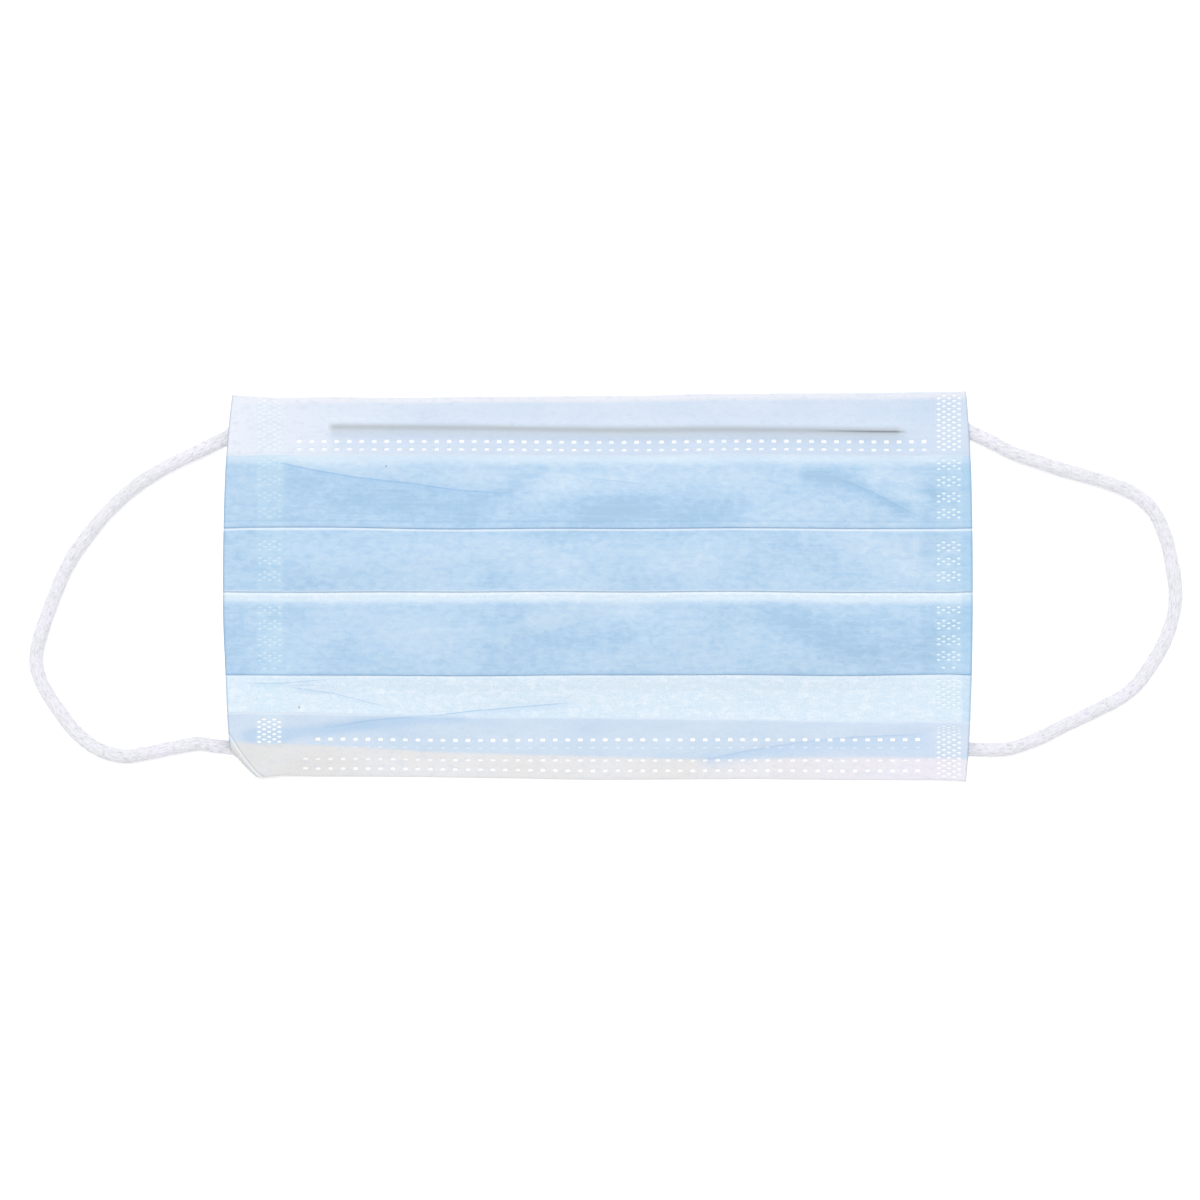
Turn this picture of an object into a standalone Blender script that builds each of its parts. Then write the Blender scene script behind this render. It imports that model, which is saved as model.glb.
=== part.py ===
"""A pleated surgical face mask that lies flat, outer side up, with its two ear loops spread on the table.

Origin: the middle of the mask on the surface that it lies on.
+X runs to the wearer's left, +Y to the nose edge and +Z out of the blue outer side.
"""

import math

import bmesh
import bpy
from mathutils import Matrix, Vector

MM = 0.001
SHARP_ANGLE = math.radians(45)  # an edge that bends more than this is shaded as an edge

# Cloth and clearances
WALL = 1.0 * MM  # one layer of the laminate, and one flap of a hem
GAP = 0.3 * MM  # clearance between faces that would touch

# Outline of the mask, closed pleats
MASK_WIDTH = 176.0 * MM
MASK_HEIGHT = 91.5 * MM  # at the taller right side
TOP_EDGE_DROP = 2.0 * MM  # the left end of the top edge is this much lower
SIDE_BULGE = 1.7 * MM  # the sides bow out this much at mid height
SIDE_BULGE_POWER = 2.4
CORNER_CUT_WIDTH = 9.0 * MM  # the lower left corner is turned under along a rounded slant
CORNER_CUT_HEIGHT = 12.0 * MM
CORNER_CUT_POWER = 1.5

# Hems and nose wire
TOP_HEM_HEIGHT = 15.3 * MM
BOTTOM_HEM_HEIGHT = 15.5 * MM
BLUE_PLY_SETBACK = 5.6 * MM  # the laminate stops this far above the bottom edge
NOSE_WIRE_LENGTH = 134.0 * MM
NOSE_WIRE_WIDTH = 3.0 * MM
NOSE_WIRE_THICKNESS = 0.8 * MM
NOSE_WIRE_SHIFT = 4.2 * MM  # its middle lies right of the mask's
NOSE_WIRE_DOWN = 8.5 * MM  # from the top edge to the wire's middle

# Pleats, from the top: the lower fold that shows, as a share of the height below the top edge,
# and the stripe of single cloth that shows above the pleat's hidden fold, as a share of the height
PLEATS = (
    {"name": "upper", "fold": 0.350, "stripe": 0.0},
    {"name": "middle", "fold": 0.514, "stripe": 0.0},
    {"name": "lower", "fold": 0.727, "stripe": 0.004},
)
RAMP_ANGLE = math.radians(40)  # slope of the cloth where it steps from one level to the next
TURN_STEPS = 4  # faces round a fold
ROWS = 3  # points across a layer between its bends, at the same places in each layer of a pleat
MIDDLE_COLUMNS = 9  # spans of cloth between the lifted corners
LIFTED_COLUMNS = (0.33, 0.67, 1.0)  # divisions of a lifted corner, as shares of its reach
RISING_COLUMNS = (0.35, 0.7, 1.0)  # divisions of the rise to it, as shares of the rise's run

# Side seals, which weld the pleats' layers together
WELD_WIDTH = 6.2 * MM
WELD_INSET_LEFT = 8.0 * MM
WELD_INSET_RIGHT = 2.3 * MM
WELD_END_MARGIN = 0.6 * MM  # the weld stops this far inside each fold

# Form of the lying mask
CROWN = 2.2 * MM  # the pleats hold its middle this much off the surface
CROWN_RUN = 24.0 * MM  # the crown rises over this distance from each hem
CORNER_LIFT_RUN = 15.0 * MM  # each corner rises onto its loop end over this distance
SWELL_REACH = 10.0 * MM  # a swell or a dent fades out this far from its line
# Soft swells (rise above 0) and dents (below 0), each along a line between two places, which are
# shares of half the width and half the height; the rise is a share of the crown
SWELLS = (
    {"name": "dent_upper_left", "x": (-0.86, -0.22), "y": (0.60, 0.45), "rise": -0.35},
    {"name": "swell_upper_right", "x": (0.62, 0.86), "y": (0.56, 0.34), "rise": 0.40},
    {"name": "swell_middle_left", "x": (-0.80, -0.45), "y": (0.10, 0.16), "rise": 0.30},
    {"name": "dent_lower_middle", "x": (-0.16, 0.12), "y": (-0.30, -0.13), "rise": -0.30},
    {"name": "swell_lower_right", "x": (0.45, 0.85), "y": (-0.36, -0.24), "rise": 0.35},
)

# Ear loops, round knitted elastic
CORD_DIAMETER = 3.2 * MM
TAB_THICKNESS = 1.0 * MM  # a welded end, pressed flat
TAB_WIDTH = 5.0 * MM
TAB_LENGTH = 6.5 * MM  # under the mask
NECK_REACH = 3.6 * MM  # beside the mask's widest place, where a cord is round again
CORD_SPACING = 1.7  # from one point of the tube to the next, in cord diameters
CURVE_STEPS = 12  # fine points between two of a route's own, to measure it along
ENDS = (
    {"name": "left_top", "side": -1, "height": 0.857, "slope": -27},
    {"name": "left_bottom", "side": -1, "height": 0.094, "slope": 8},
    {"name": "right_top", "side": 1, "height": 0.874, "slope": -27},
    {"name": "right_bottom", "side": 1, "height": 0.082, "slope": 0},
)
# A welded end, from its round end to its tab: shares of the neck's length, of the way from flat
# to round in width, and of the way from flat to round in thickness
NECK = (
    {"along": 0.0, "width": 1.0, "thickness": 1.0},
    {"along": 0.25, "width": 0.95, "thickness": 0.82},
    {"along": 0.55, "width": 0.6, "thickness": 0.36},
    {"along": 0.85, "width": 0.15, "thickness": 0.05},
    {"along": 1.0, "width": 0.0, "thickness": 0.0},
)
SECTION_SIDES = 12  # faces round a welded end

# Routes of the two loops between their ends, in millimetres, chosen by eye
ROUTE_LEFT = (
    (-97.2, 30.0), (-103.0, 27.0), (-108.6, 23.3), (-114.2, 18.3), (-119.8, 11.7), (-124.6, 4.4),
    (-128.2, -4.3), (-131.0, -12.6), (-131.7, -18.4), (-129.8, -23.8), (-126.0, -29.6),
    (-121.8, -34.8), (-117.0, -38.2), (-111.4, -39.8), (-105.8, -39.1), (-99.5, -37.8),
)
ROUTE_RIGHT = (
    (97.2, 31.3), (103.0, 29.3), (108.6, 27.5), (114.2, 25.9), (119.8, 24.2), (125.4, 21.9),
    (130.0, 18.0), (133.0, 11.8), (134.8, 4.0), (135.4, -3.6), (133.7, -10.8), (130.0, -18.0),
    (124.6, -24.6), (117.0, -29.0), (109.0, -32.8), (103.4, -35.6), (97.4, -37.8),
)

# Levels of the cloth's middle, each a wall and a gap above the last
STEP = WALL + GAP
LOW, MID, HIGH = (WALL / 2 + level * STEP for level in range(3))
TURN_RADIUS = STEP / 2
HEM_TURN_RADIUS = (HIGH - LOW) / 2
TOP, BOTTOM = MASK_HEIGHT / 2, -MASK_HEIGHT / 2
TOP_HEM_EDGE = TOP - TOP_HEM_HEIGHT
BOTTOM_HEM_EDGE = BOTTOM + BOTTOM_HEM_HEIGHT
CORNER_LIFT = TAB_THICKNESS + GAP
EXIT_X = MASK_WIDTH / 2 + NECK_REACH
BEND = math.tan(RAMP_ANGLE / 2)
CORNER_REACH = TAB_LENGTH + TAB_WIDTH / 2  # from the side, this much is lifted in full
SIDE_BAND = 2.5 * CORNER_CUT_WIDTH  # the shape of a side edge is taken up over this width
CLEAR_OF_FOLD = (TURN_RADIUS + WALL + GAP) * BEND  # from a fold's centre to a bend that clears it
WIRE_END = NOSE_WIRE_LENGTH / 2 + (GAP + WALL / 2) * BEND  # the ridge is full up to here
RIDGE_RISE = NOSE_WIRE_THICKNESS + GAP  # how much the hem's front flap rises over the wire


def ease(t):
    t = min(max(t, 0.0), 1.0)
    return t * t * (3 - 2 * t)


def run(rise):
    """The length of a ramp that rises this much."""
    return rise / math.tan(RAMP_ANGLE)


def side_inset(side, y):
    """How far the side edge lies inside half the mask's width, at this height."""
    inset = SIDE_BULGE * min(abs(y) / TOP, 1.0) ** SIDE_BULGE_POWER
    if side < 0:
        down = (BOTTOM + CORNER_CUT_HEIGHT - y) / CORNER_CUT_HEIGHT
        down = min(max(down, 0.0), 1.0) ** CORNER_CUT_POWER
        inset += CORNER_CUT_WIDTH * (1 - (1 - down) ** (1 / CORNER_CUT_POWER))
    return inset


def swell_share(x, y):
    """The swells and dents at a place, as a share of the crown."""
    total = 0.0
    place = Vector((x, y))
    for row in SWELLS:
        start, end = (
            Vector((row["x"][i] * MASK_WIDTH / 2, row["y"][i] * MASK_HEIGHT / 2)) for i in (0, 1)
        )
        along = end - start
        t = min(max((place - start).dot(along) / along.length_squared, 0.0), 1.0)
        total += row["rise"] * ease(1 - (place - start - along * t).length / SWELL_REACH)
    return total


def settle(point):
    """Moves a point of the flat square mask to its place on the real one."""
    x, y, z = point
    half = MASK_WIDTH / 2
    side = 1 if x > 0 else -1
    out = min(max((abs(x) - half + SIDE_BAND) / SIDE_BAND, 0.0), 1.0)
    between_hems = ease((TOP_HEM_EDGE - y) / CROWN_RUN) * ease((y - BOTTOM_HEM_EDGE) / CROWN_RUN)
    crown = between_hems * (1 - min(abs(x) / half, 1.0) ** 2) ** 2
    crown = max(crown + math.sqrt(between_hems) * swell_share(x, y), 0.0)
    near_side = ease((abs(x) - half + CORNER_REACH) / CORNER_LIFT_RUN + 1)
    near_top = ease((y - TOP_HEM_EDGE) / CORNER_LIFT_RUN + 1)
    near_bottom = ease((BOTTOM_HEM_EDGE - y) / CORNER_LIFT_RUN + 1)
    drop = TOP_EDGE_DROP * (half - x) / MASK_WIDTH
    drop *= min(max((y - TOP_HEM_EDGE) / TOP_HEM_HEIGHT, 0.0), 1.0)
    return Vector((
        x - side * side_inset(side, y) * out,
        y - drop,
        z + CROWN * crown + CORNER_LIFT * near_side * max(near_top, near_bottom),
    ))


def new_collection(name):
    made = bpy.data.collections.new(name)
    bpy.context.scene.collection.children.link(made)
    return made


def new_material(name, colour, roughness):
    made = bpy.data.materials.new(name)
    made.use_nodes = True
    shader = made.node_tree.nodes["Principled BSDF"]
    shader.inputs["Base Color"].default_value = (*colour, 1.0)
    shader.inputs["Roughness"].default_value = roughness
    shader.inputs["Metallic"].default_value = 0.0
    made.diffuse_color = (*colour, 1.0)
    return made


def new_object(name, mesh, material, home):
    made = bpy.data.objects.new(name, mesh)
    made.data.materials.append(material)
    home.objects.link(made)
    return made


def bake(piece):
    """Gives a piece the mesh that its modifiers make."""
    graph = bpy.context.evaluated_depsgraph_get()
    mesh = bpy.data.meshes.new_from_object(piece.evaluated_get(graph))
    piece.modifiers.clear()
    piece.data = mesh


def smooth(piece):
    piece.data.shade_smooth()
    piece.data.set_sharp_from_angle(angle=SHARP_ANGLE)


def columns():
    """Where the cloth is divided across its width: the sides, the seals and the wire's ends."""
    half = MASK_WIDTH / 2
    ridge_ends = (WIRE_END, WIRE_END + run(RIDGE_RISE))
    marks = [-half, half]
    marks += [NOSE_WIRE_SHIFT + side * end for side in (-1, 1) for end in ridge_ends]
    # The corner's lift needs closer columns than the middle does.
    lifted = half - CORNER_REACH
    for side in (-1, 1):
        marks += [side * (half - share * CORNER_REACH) for share in LIFTED_COLUMNS]
        marks += [side * (lifted - share * CORNER_LIFT_RUN) for share in RISING_COLUMNS]
    middle = lifted - CORNER_LIFT_RUN
    marks += [middle * (2 * i / MIDDLE_COLUMNS - 1) for i in range(1, MIDDLE_COLUMNS)]
    marks.sort()
    kept = [marks[0]]
    for mark in marks[1:-1]:
        if mark - kept[-1] > GAP and marks[-1] - mark > GAP:
            kept.append(mark)
    return kept + [marks[-1]]


def ridge_share(x):
    """1 where the hem's ridge has its full height, 0 where there is none."""
    past = abs(x - NOSE_WIRE_SHIFT) - WIRE_END
    return min(max(1 - past / run(RIDGE_RISE), 0.0), 1.0)


def straight(start, end, z, count):
    """Points between two places on one level, without the two ends."""
    return [(start + (end - start) * i / (count + 1), z, 0) for i in range(1, count + 1)]


def turn(y, z, radius, way):
    """A half circle from its upper to its lower level, bulging towards way (+1 or -1) in Y."""
    angles = [math.pi * i / TURN_STEPS for i in range(TURN_STEPS + 1)]
    return [(y + way * radius * math.sin(a), z + radius * math.cos(a), 0) for a in angles]


def pleat_places():
    """For each pleat, in Y: where its top layer begins, its hidden fold, its lower fold and its ramp."""
    begin = TOP_HEM_EDGE - (GAP + WALL / 2) * BEND - run(HIGH - MID)
    places = []
    for pleat in PLEATS:
        back = begin - CLEAR_OF_FOLD - pleat["stripe"] * MASK_HEIGHT
        front = TOP - pleat["fold"] * MASK_HEIGHT + WALL / 2 + TURN_RADIUS
        ramp = front - CLEAR_OF_FOLD
        places.append((begin, back, front, ramp))
        begin = ramp - run(HIGH - LOW)
    return places


def panel_profile():
    """The laminate's path from the top edge to the bottom one, as (y, z, share of the ridge)."""
    start = TOP - WALL / 2 - HEM_TURN_RADIUS - GAP
    ramp = TOP_HEM_EDGE - (GAP + WALL / 2) * BEND
    path = [(start, MID, 0)] + straight(start, ramp, MID, 1) + [(ramp, MID, 0)]
    for begin, back, front, ramp in pleat_places():
        path.append((begin, HIGH, 0))
        path += straight(back, front, HIGH, ROWS)
        path += turn(front, (HIGH + MID) / 2, TURN_RADIUS, -1)
        path += straight(front, back, MID, ROWS)
        path += turn(back, (MID + LOW) / 2, TURN_RADIUS, 1)
        path += straight(back, front, LOW, ROWS)
        path.append((ramp, LOW, 0))
    begin, end = ramp - run(MID - LOW), BOTTOM + BLUE_PLY_SETBACK
    return path + [(begin, MID, 0)] + straight(begin, end, MID, ROWS) + [(end, MID, 0)]


def hem_profile(edge, flap_edge, ridge):
    """A hem's path: front flap, the turn round the mask's edge, back flap."""
    way = 1 if edge > flap_edge else -1
    centre = edge - way * (WALL / 2 + HEM_TURN_RADIUS)
    path = [(flap_edge, HIGH, 0)]
    if ridge:
        wire = edge - NOSE_WIRE_DOWN
        top = NOSE_WIRE_WIDTH / 2 + (GAP + WALL / 2) * BEND
        foot = top + run(RIDGE_RISE)
        path += [(wire - foot, HIGH, 0), (wire - top, HIGH, 1), (wire + top, HIGH, 1), (wire + foot, HIGH, 0)]
    else:
        path += straight(flap_edge, centre, HIGH, ROWS)
    path += turn(centre, MID, HEM_TURN_RADIUS, way)
    return path + straight(centre, flap_edge, LOW, ROWS) + [(flap_edge, LOW, 0)]


def cloth(name, path, across, material, home):
    """A sheet along a path in the YZ plane, from column to column in X, with the cloth's wall."""
    shape = bmesh.new()
    rows = [
        [shape.verts.new((x, y, z + ridge * RIDGE_RISE * ridge_share(x))) for x in across]
        for y, z, ridge in path
    ]
    for upper, lower in zip(rows, rows[1:]):
        for i in range(len(across) - 1):
            shape.faces.new((upper[i], lower[i], lower[i + 1], upper[i + 1]))
    mesh = bpy.data.meshes.new(name)
    shape.to_mesh(mesh)
    shape.free()
    piece = new_object(name, mesh, material, home)
    wall = piece.modifiers.new("wall", "SOLIDIFY")
    wall.thickness = WALL
    wall.offset = 0
    wall.use_even_offset = True
    return piece


def settle_piece(piece):
    """Bakes a flat piece and moves all its points to their place on the real mask."""
    bake(piece)
    shape = bmesh.new()
    shape.from_mesh(piece.data)
    bmesh.ops.triangulate(shape, faces=[face for face in shape.faces if len(face.verts) > 4])
    for vertex in shape.verts:
        vertex.co = settle(vertex.co)
    shape.to_mesh(piece.data)
    shape.free()
    smooth(piece)


def box(name, low, high, home):
    """A primitive cube between two corners, as a helper body that isn't part of the model."""
    shape = bmesh.new()
    bmesh.ops.create_cube(shape, size=1.0)
    centre = (Vector(low) + Vector(high)) / 2
    size = Vector(high) - Vector(low)
    bmesh.ops.transform(
        shape, matrix=Matrix.Translation(centre) @ Matrix.Diagonal((*size, 1)), verts=shape.verts
    )
    mesh = bpy.data.meshes.new(name)
    shape.to_mesh(mesh)
    shape.free()
    made = bpy.data.objects.new(name, mesh)
    made.hide_render = True
    made.display_type = "WIRE"
    home.objects.link(made)
    return made


def weld(piece, helpers):
    """Joins the three layers of each pleat in both side seals."""
    half = MASK_WIDTH / 2
    strips = {
        "left": (WELD_INSET_LEFT - half, WELD_INSET_LEFT + WELD_WIDTH - half),
        "right": (half - WELD_INSET_RIGHT - WELD_WIDTH, half - WELD_INSET_RIGHT),
    }
    for side, (start, end) in strips.items():
        for pleat, (_, back, front, _) in zip(PLEATS, pleat_places()):
            name = f"seal_{side}_{pleat['name']}"
            low, high = front + WELD_END_MARGIN, back - WELD_END_MARGIN
            filler = box(name, (start, low, LOW), (end, high, HIGH), helpers)
            join = piece.modifiers.new(name, "BOOLEAN")
            join.operation = "UNION"
            join.solver = "EXACT"
            join.object = filler


def pleated_panel(home, helpers):
    blue = new_material("blue_spunbond", (0.49, 0.67, 0.87), 0.85)
    piece = cloth("pleated_panel", panel_profile(), columns(), blue, home)
    weld(piece, helpers)
    settle_piece(piece)


def hems(home):
    white = new_material("white_spunbond", (0.78, 0.82, 0.88), 0.85)
    edges = {"top_hem": (TOP, TOP_HEM_EDGE, True), "bottom_hem": (BOTTOM, BOTTOM_HEM_EDGE, False)}
    for name, (edge, flap_edge, ridge) in edges.items():
        settle_piece(cloth(name, hem_profile(edge, flap_edge, ridge), columns(), white, home))


def nose_wire(home):
    """The flat wire lies on the laminate, under the ridge of the hem's front flap."""
    grey = new_material("coated_wire", (0.6, 0.63, 0.66), 0.5)
    low = MID + WALL / 2 + GAP
    middle = TOP - NOSE_WIRE_DOWN
    half_length, half_width = NOSE_WIRE_LENGTH / 2, NOSE_WIRE_WIDTH / 2
    start, end = NOSE_WIRE_SHIFT - half_length, NOSE_WIRE_SHIFT + half_length
    piece = box(
        "nose_wire", (start, middle - half_width, low),
        (end, middle + half_width, low + NOSE_WIRE_THICKNESS), home,
    )
    piece.hide_render = False
    piece.display_type = "TEXTURED"
    piece.data.materials.append(grey)
    shape = bmesh.new()
    shape.from_mesh(piece.data)
    for x in columns():
        if start < x < end:
            bmesh.ops.bisect_plane(
                shape, geom=shape.verts[:] + shape.edges[:] + shape.faces[:],
                plane_co=(x, 0, 0), plane_no=(1, 0, 0),
            )
    shape.to_mesh(piece.data)
    shape.free()
    settle_piece(piece)


def direction(end):
    """The way the cord leaves the mask at this end."""
    slope = math.radians(end["slope"])
    return Vector((end["side"] * math.cos(slope), math.sin(slope), 0))


def exit_point(end):
    """Where the cord is round again, beside the mask."""
    return Vector((end["side"] * EXIT_X, (end["height"] - 0.5) * MASK_HEIGHT, CORD_DIAMETER / 2))


def section(width, thickness, roundness):
    """A closed outline between a flat tab (0) and a circle (1), resting on zero."""
    points = []
    power = 1 - 0.5 * (1 - roundness)
    for i in range(SECTION_SIDES):
        angle = 2 * math.pi * (i + 0.5) / SECTION_SIDES
        across, up = math.cos(angle), math.sin(angle)
        points.append((
            math.copysign(abs(across) ** power, across) * width / 2,
            (math.copysign(abs(up) ** power, up) + 1) * thickness / 2,
        ))
    lowest = min(up for _, up in points)
    return [(across, up - lowest) for across, up in points]


def loop_end(end, material, home):
    """A welded end: a tab under the mask's corner that grows into the round cord outside."""
    way, origin = direction(end), exit_point(end)
    side = Vector((-way.y, way.x, 0))
    edge_x = MASK_WIDTH / 2 - side_inset(end["side"], origin.y)
    neck = (EXIT_X - edge_x) / abs(way.x) - GAP
    stations = [
        (row["along"] * neck, row["width"], row["thickness"]) for row in NECK
    ] + [(neck + TAB_LENGTH, 0.0, 0.0)]
    shape = bmesh.new()
    rings = []
    for back, round_width, round_thickness in stations:
        width = TAB_WIDTH + (CORD_DIAMETER - TAB_WIDTH) * round_width
        thickness = TAB_THICKNESS + (CORD_DIAMETER - TAB_THICKNESS) * round_thickness
        centre = Vector((origin.x, origin.y, 0)) - way * back
        outline = section(width, thickness, round_width)
        rings.append([
            shape.verts.new(centre + side * across + Vector((0, 0, up))) for across, up in outline
        ])
    for near, far in zip(rings, rings[1:]):
        for i in range(SECTION_SIDES):
            j = (i + 1) % SECTION_SIDES
            shape.faces.new((near[i], near[j], far[j], far[i]))
    shape.faces.new(rings[0])
    shape.faces.new(rings[-1])
    bmesh.ops.recalc_face_normals(shape, faces=shape.faces)
    name = f"loop_end_{end['name']}"
    mesh = bpy.data.meshes.new(name)
    shape.to_mesh(mesh)
    shape.free()
    smooth(new_object(name, mesh, material, home))


def spline_point(before, start, end, after, t):
    """A point of the smooth curve between start and end, which passes through both."""
    a = 2 * start
    b = end - before
    c = 2 * before - 5 * start + 4 * end - after
    d = 3 * (start - end) + after - before
    return (a + b * t + c * t * t + d * t * t * t) / 2


def even_points(points, spacing):
    """Points a fixed way apart on the smooth curve through the given ones."""
    ends = [2 * points[0] - points[1]] + points + [2 * points[-1] - points[-2]]
    fine = [points[0]]
    for quad in zip(ends, ends[1:], ends[2:], ends[3:]):
        fine += [spline_point(*quad, step / CURVE_STEPS) for step in range(1, CURVE_STEPS + 1)]
    lengths = [(b - a).length for a, b in zip(fine, fine[1:])]
    total = sum(lengths)
    count = max(2, round(total / spacing))
    found, walked, index = [fine[0]], 0.0, 0
    for i in range(1, count):
        wanted = total * i / count
        while walked + lengths[index] < wanted:
            walked += lengths[index]
            index += 1
        found.append(fine[index].lerp(fine[index + 1], (wanted - walked) / lengths[index]))
    return found + [fine[-1]]


def ear_loop(name, top, bottom, route, material, home):
    """The round cord from one welded end to the other, lying on the surface."""
    lead = CORD_DIAMETER
    first, last = exit_point(top) + direction(top) * GAP, exit_point(bottom) + direction(bottom) * GAP
    points = [first, first + direction(top) * lead]
    points += [Vector((x * MM, y * MM, CORD_DIAMETER / 2)) for x, y in route]
    points += [last + direction(bottom) * lead, last]
    spaced = even_points(points, CORD_SPACING * CORD_DIAMETER)
    data = bpy.data.curves.new(name, "CURVE")
    data.dimensions = "3D"
    data.bevel_depth = CORD_DIAMETER / 2
    data.bevel_resolution = 2
    data.use_fill_caps = True
    line = data.splines.new("POLY")
    line.points.add(len(spaced) - 1)
    for point, place in zip(line.points, spaced):
        point.co = (*place, 1)
    new_object(name, data, material, home)


def main():
    for item in list(bpy.data.objects):
        bpy.data.objects.remove(item)
    home = new_collection("surgical_face_mask")
    helpers = new_collection("helper_bodies")
    helpers.hide_render = True
    pleated_panel(home, helpers)
    hems(home)
    nose_wire(home)
    elastic = new_material("white_elastic", (0.83, 0.84, 0.88), 0.9)
    for end in ENDS:
        loop_end(end, elastic, home)
    by_name = {end["name"]: end for end in ENDS}
    for side, route in (("left", ROUTE_LEFT), ("right", ROUTE_RIGHT)):
        top, bottom = by_name[f"{side}_top"], by_name[f"{side}_bottom"]
        ear_loop(f"ear_loop_{side}", top, bottom, route, elastic, home)


main()
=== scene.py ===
# %% [markdown]
# # A pleated surgical face mask
#
# The mask lies flat on a pale table, blue outer side up, with its two ear loops spread beside it. The CAD
# model gives the frame: where each piece is and how much room it has. This notebook gives each piece its
# real form (thin cloth with real folds, knitted cord) and its real finish. Lengths in the tables are in
# millimetres; a mesh gets them in metres.

# %% Load the frame
import math
import random

import bmesh
import bpy
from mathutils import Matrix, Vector, noise


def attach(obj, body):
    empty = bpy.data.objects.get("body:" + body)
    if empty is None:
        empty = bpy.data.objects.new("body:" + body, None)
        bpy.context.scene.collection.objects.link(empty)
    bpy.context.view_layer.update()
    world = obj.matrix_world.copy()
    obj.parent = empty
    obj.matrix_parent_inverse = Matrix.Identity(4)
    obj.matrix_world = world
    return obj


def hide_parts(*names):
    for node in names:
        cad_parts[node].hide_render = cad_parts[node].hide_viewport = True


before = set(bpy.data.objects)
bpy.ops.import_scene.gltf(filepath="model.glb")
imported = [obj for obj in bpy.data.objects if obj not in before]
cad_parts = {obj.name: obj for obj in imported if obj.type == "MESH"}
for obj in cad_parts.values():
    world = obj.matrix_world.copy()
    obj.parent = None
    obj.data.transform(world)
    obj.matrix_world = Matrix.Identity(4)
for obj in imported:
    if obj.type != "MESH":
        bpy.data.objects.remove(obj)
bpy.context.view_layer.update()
MM = 0.001
print("CAD nodes:", ", ".join(sorted(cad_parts)))

# %% [markdown]
# ## Camera
#
# The photo looks straight down on the mask from a distance of about two thirds of a metre, so that its
# outline shows almost no perspective. A long lens high above does the same. One pixel of the 1200 pixel
# frame is 0.235 mm on the table, from the mask's known width of 176 mm.

# %% Camera straight above
PIXEL = 0.235
FRAME_PIXELS = 1200
LENS = 85.0
SENSOR = 36.0
VIEW_CENTRE = (0.5, -3.2)

camera_data = bpy.data.cameras.new("camera")
camera_data.type = "PERSP"
camera_data.sensor_width = SENSOR
camera_data.lens = LENS
camera_height = FRAME_PIXELS * PIXEL * LENS / SENSOR
camera = bpy.data.objects.new("camera", camera_data)
camera.location = (VIEW_CENTRE[0] * MM, VIEW_CENTRE[1] * MM, camera_height * MM)
bpy.context.scene.collection.objects.link(camera)
bpy.context.scene.camera = camera
print(f"camera {camera_height:.0f} mm above the table")

# %% [markdown]
# ## Ear loops
#
# Each ear loop is a round knitted elastic, 3.2 mm thick, with a soft core and a surface of fine ribs that
# run along it. It is limp, so it lies on the table in one slack curve, and both of its ends are welded
# under the mask's corners. A bevelled curve would be quicker, but it has no ribs. A tube of rings along
# the route is used instead, because each ring can carry the ribs and small changes of thickness.

# %% Where the two loops leave the mask
MASK_WIDTH = 176.0
MASK_HEIGHT = 91.5
HALF = MASK_WIDTH / 2
TOP = MASK_HEIGHT / 2
BOTTOM = -MASK_HEIGHT / 2
CORD_DIAMETER = 3.2
EXIT_X = 91.6
OVERLAP = 1.0  # the round cord runs this far into its welded end

LOOP_ENDS = {
    "left_top": {"side": -1, "height": 0.857, "slope": -27},
    "left_bottom": {"side": -1, "height": 0.094, "slope": 8},
    "right_top": {"side": 1, "height": 0.874, "slope": -27},
    "right_bottom": {"side": 1, "height": 0.082, "slope": 0},
}


def leaving_direction(end):
    slope = math.radians(end["slope"])
    return Vector((end["side"] * math.cos(slope), math.sin(slope), 0))


def leaving_point(end):
    return Vector((end["side"] * EXIT_X, (end["height"] - 0.5) * MASK_HEIGHT, CORD_DIAMETER / 2))


for name, end in LOOP_ENDS.items():
    place = leaving_point(end)
    print(f"{name}: leaves at {place.x:.1f}, {place.y:.1f} mm")

# %% Routes of the two loops
LOOP_ROUTES = {
    "left": (
        (-97.2, 30.0), (-103.0, 27.0), (-108.6, 23.3), (-114.2, 18.3), (-119.8, 11.7), (-124.6, 4.4),
        (-128.2, -4.3), (-131.0, -12.6), (-131.7, -18.4), (-129.8, -23.8), (-126.0, -29.6),
        (-121.8, -34.8), (-117.0, -38.2), (-111.4, -39.8), (-105.8, -39.1), (-99.5, -37.8),
    ),
    "right": (
        (97.2, 31.3), (103.0, 29.3), (108.6, 27.5), (114.2, 25.9), (119.8, 24.2), (125.4, 21.9),
        (130.0, 18.0), (133.0, 11.8), (134.8, 4.0), (135.4, -3.6), (133.7, -10.8), (130.0, -18.0),
        (124.6, -24.6), (117.0, -29.0), (109.0, -32.8), (103.4, -35.6), (97.4, -37.8),
    ),
}

SPLINE_STEPS = 24  # points between two given ones, before they are spaced evenly


def spline_point(before, start, end, after, t):
    """A point of the smooth curve between start and end, which passes through both."""
    a = 2 * start
    b = end - before
    c = 2 * before - 5 * start + 4 * end - after
    d = 3 * (start - end) + after - before
    return (a + b * t + c * t * t + d * t * t * t) / 2


def path_length(path):
    return sum((b - a).length for a, b in zip(path, path[1:]))


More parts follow.
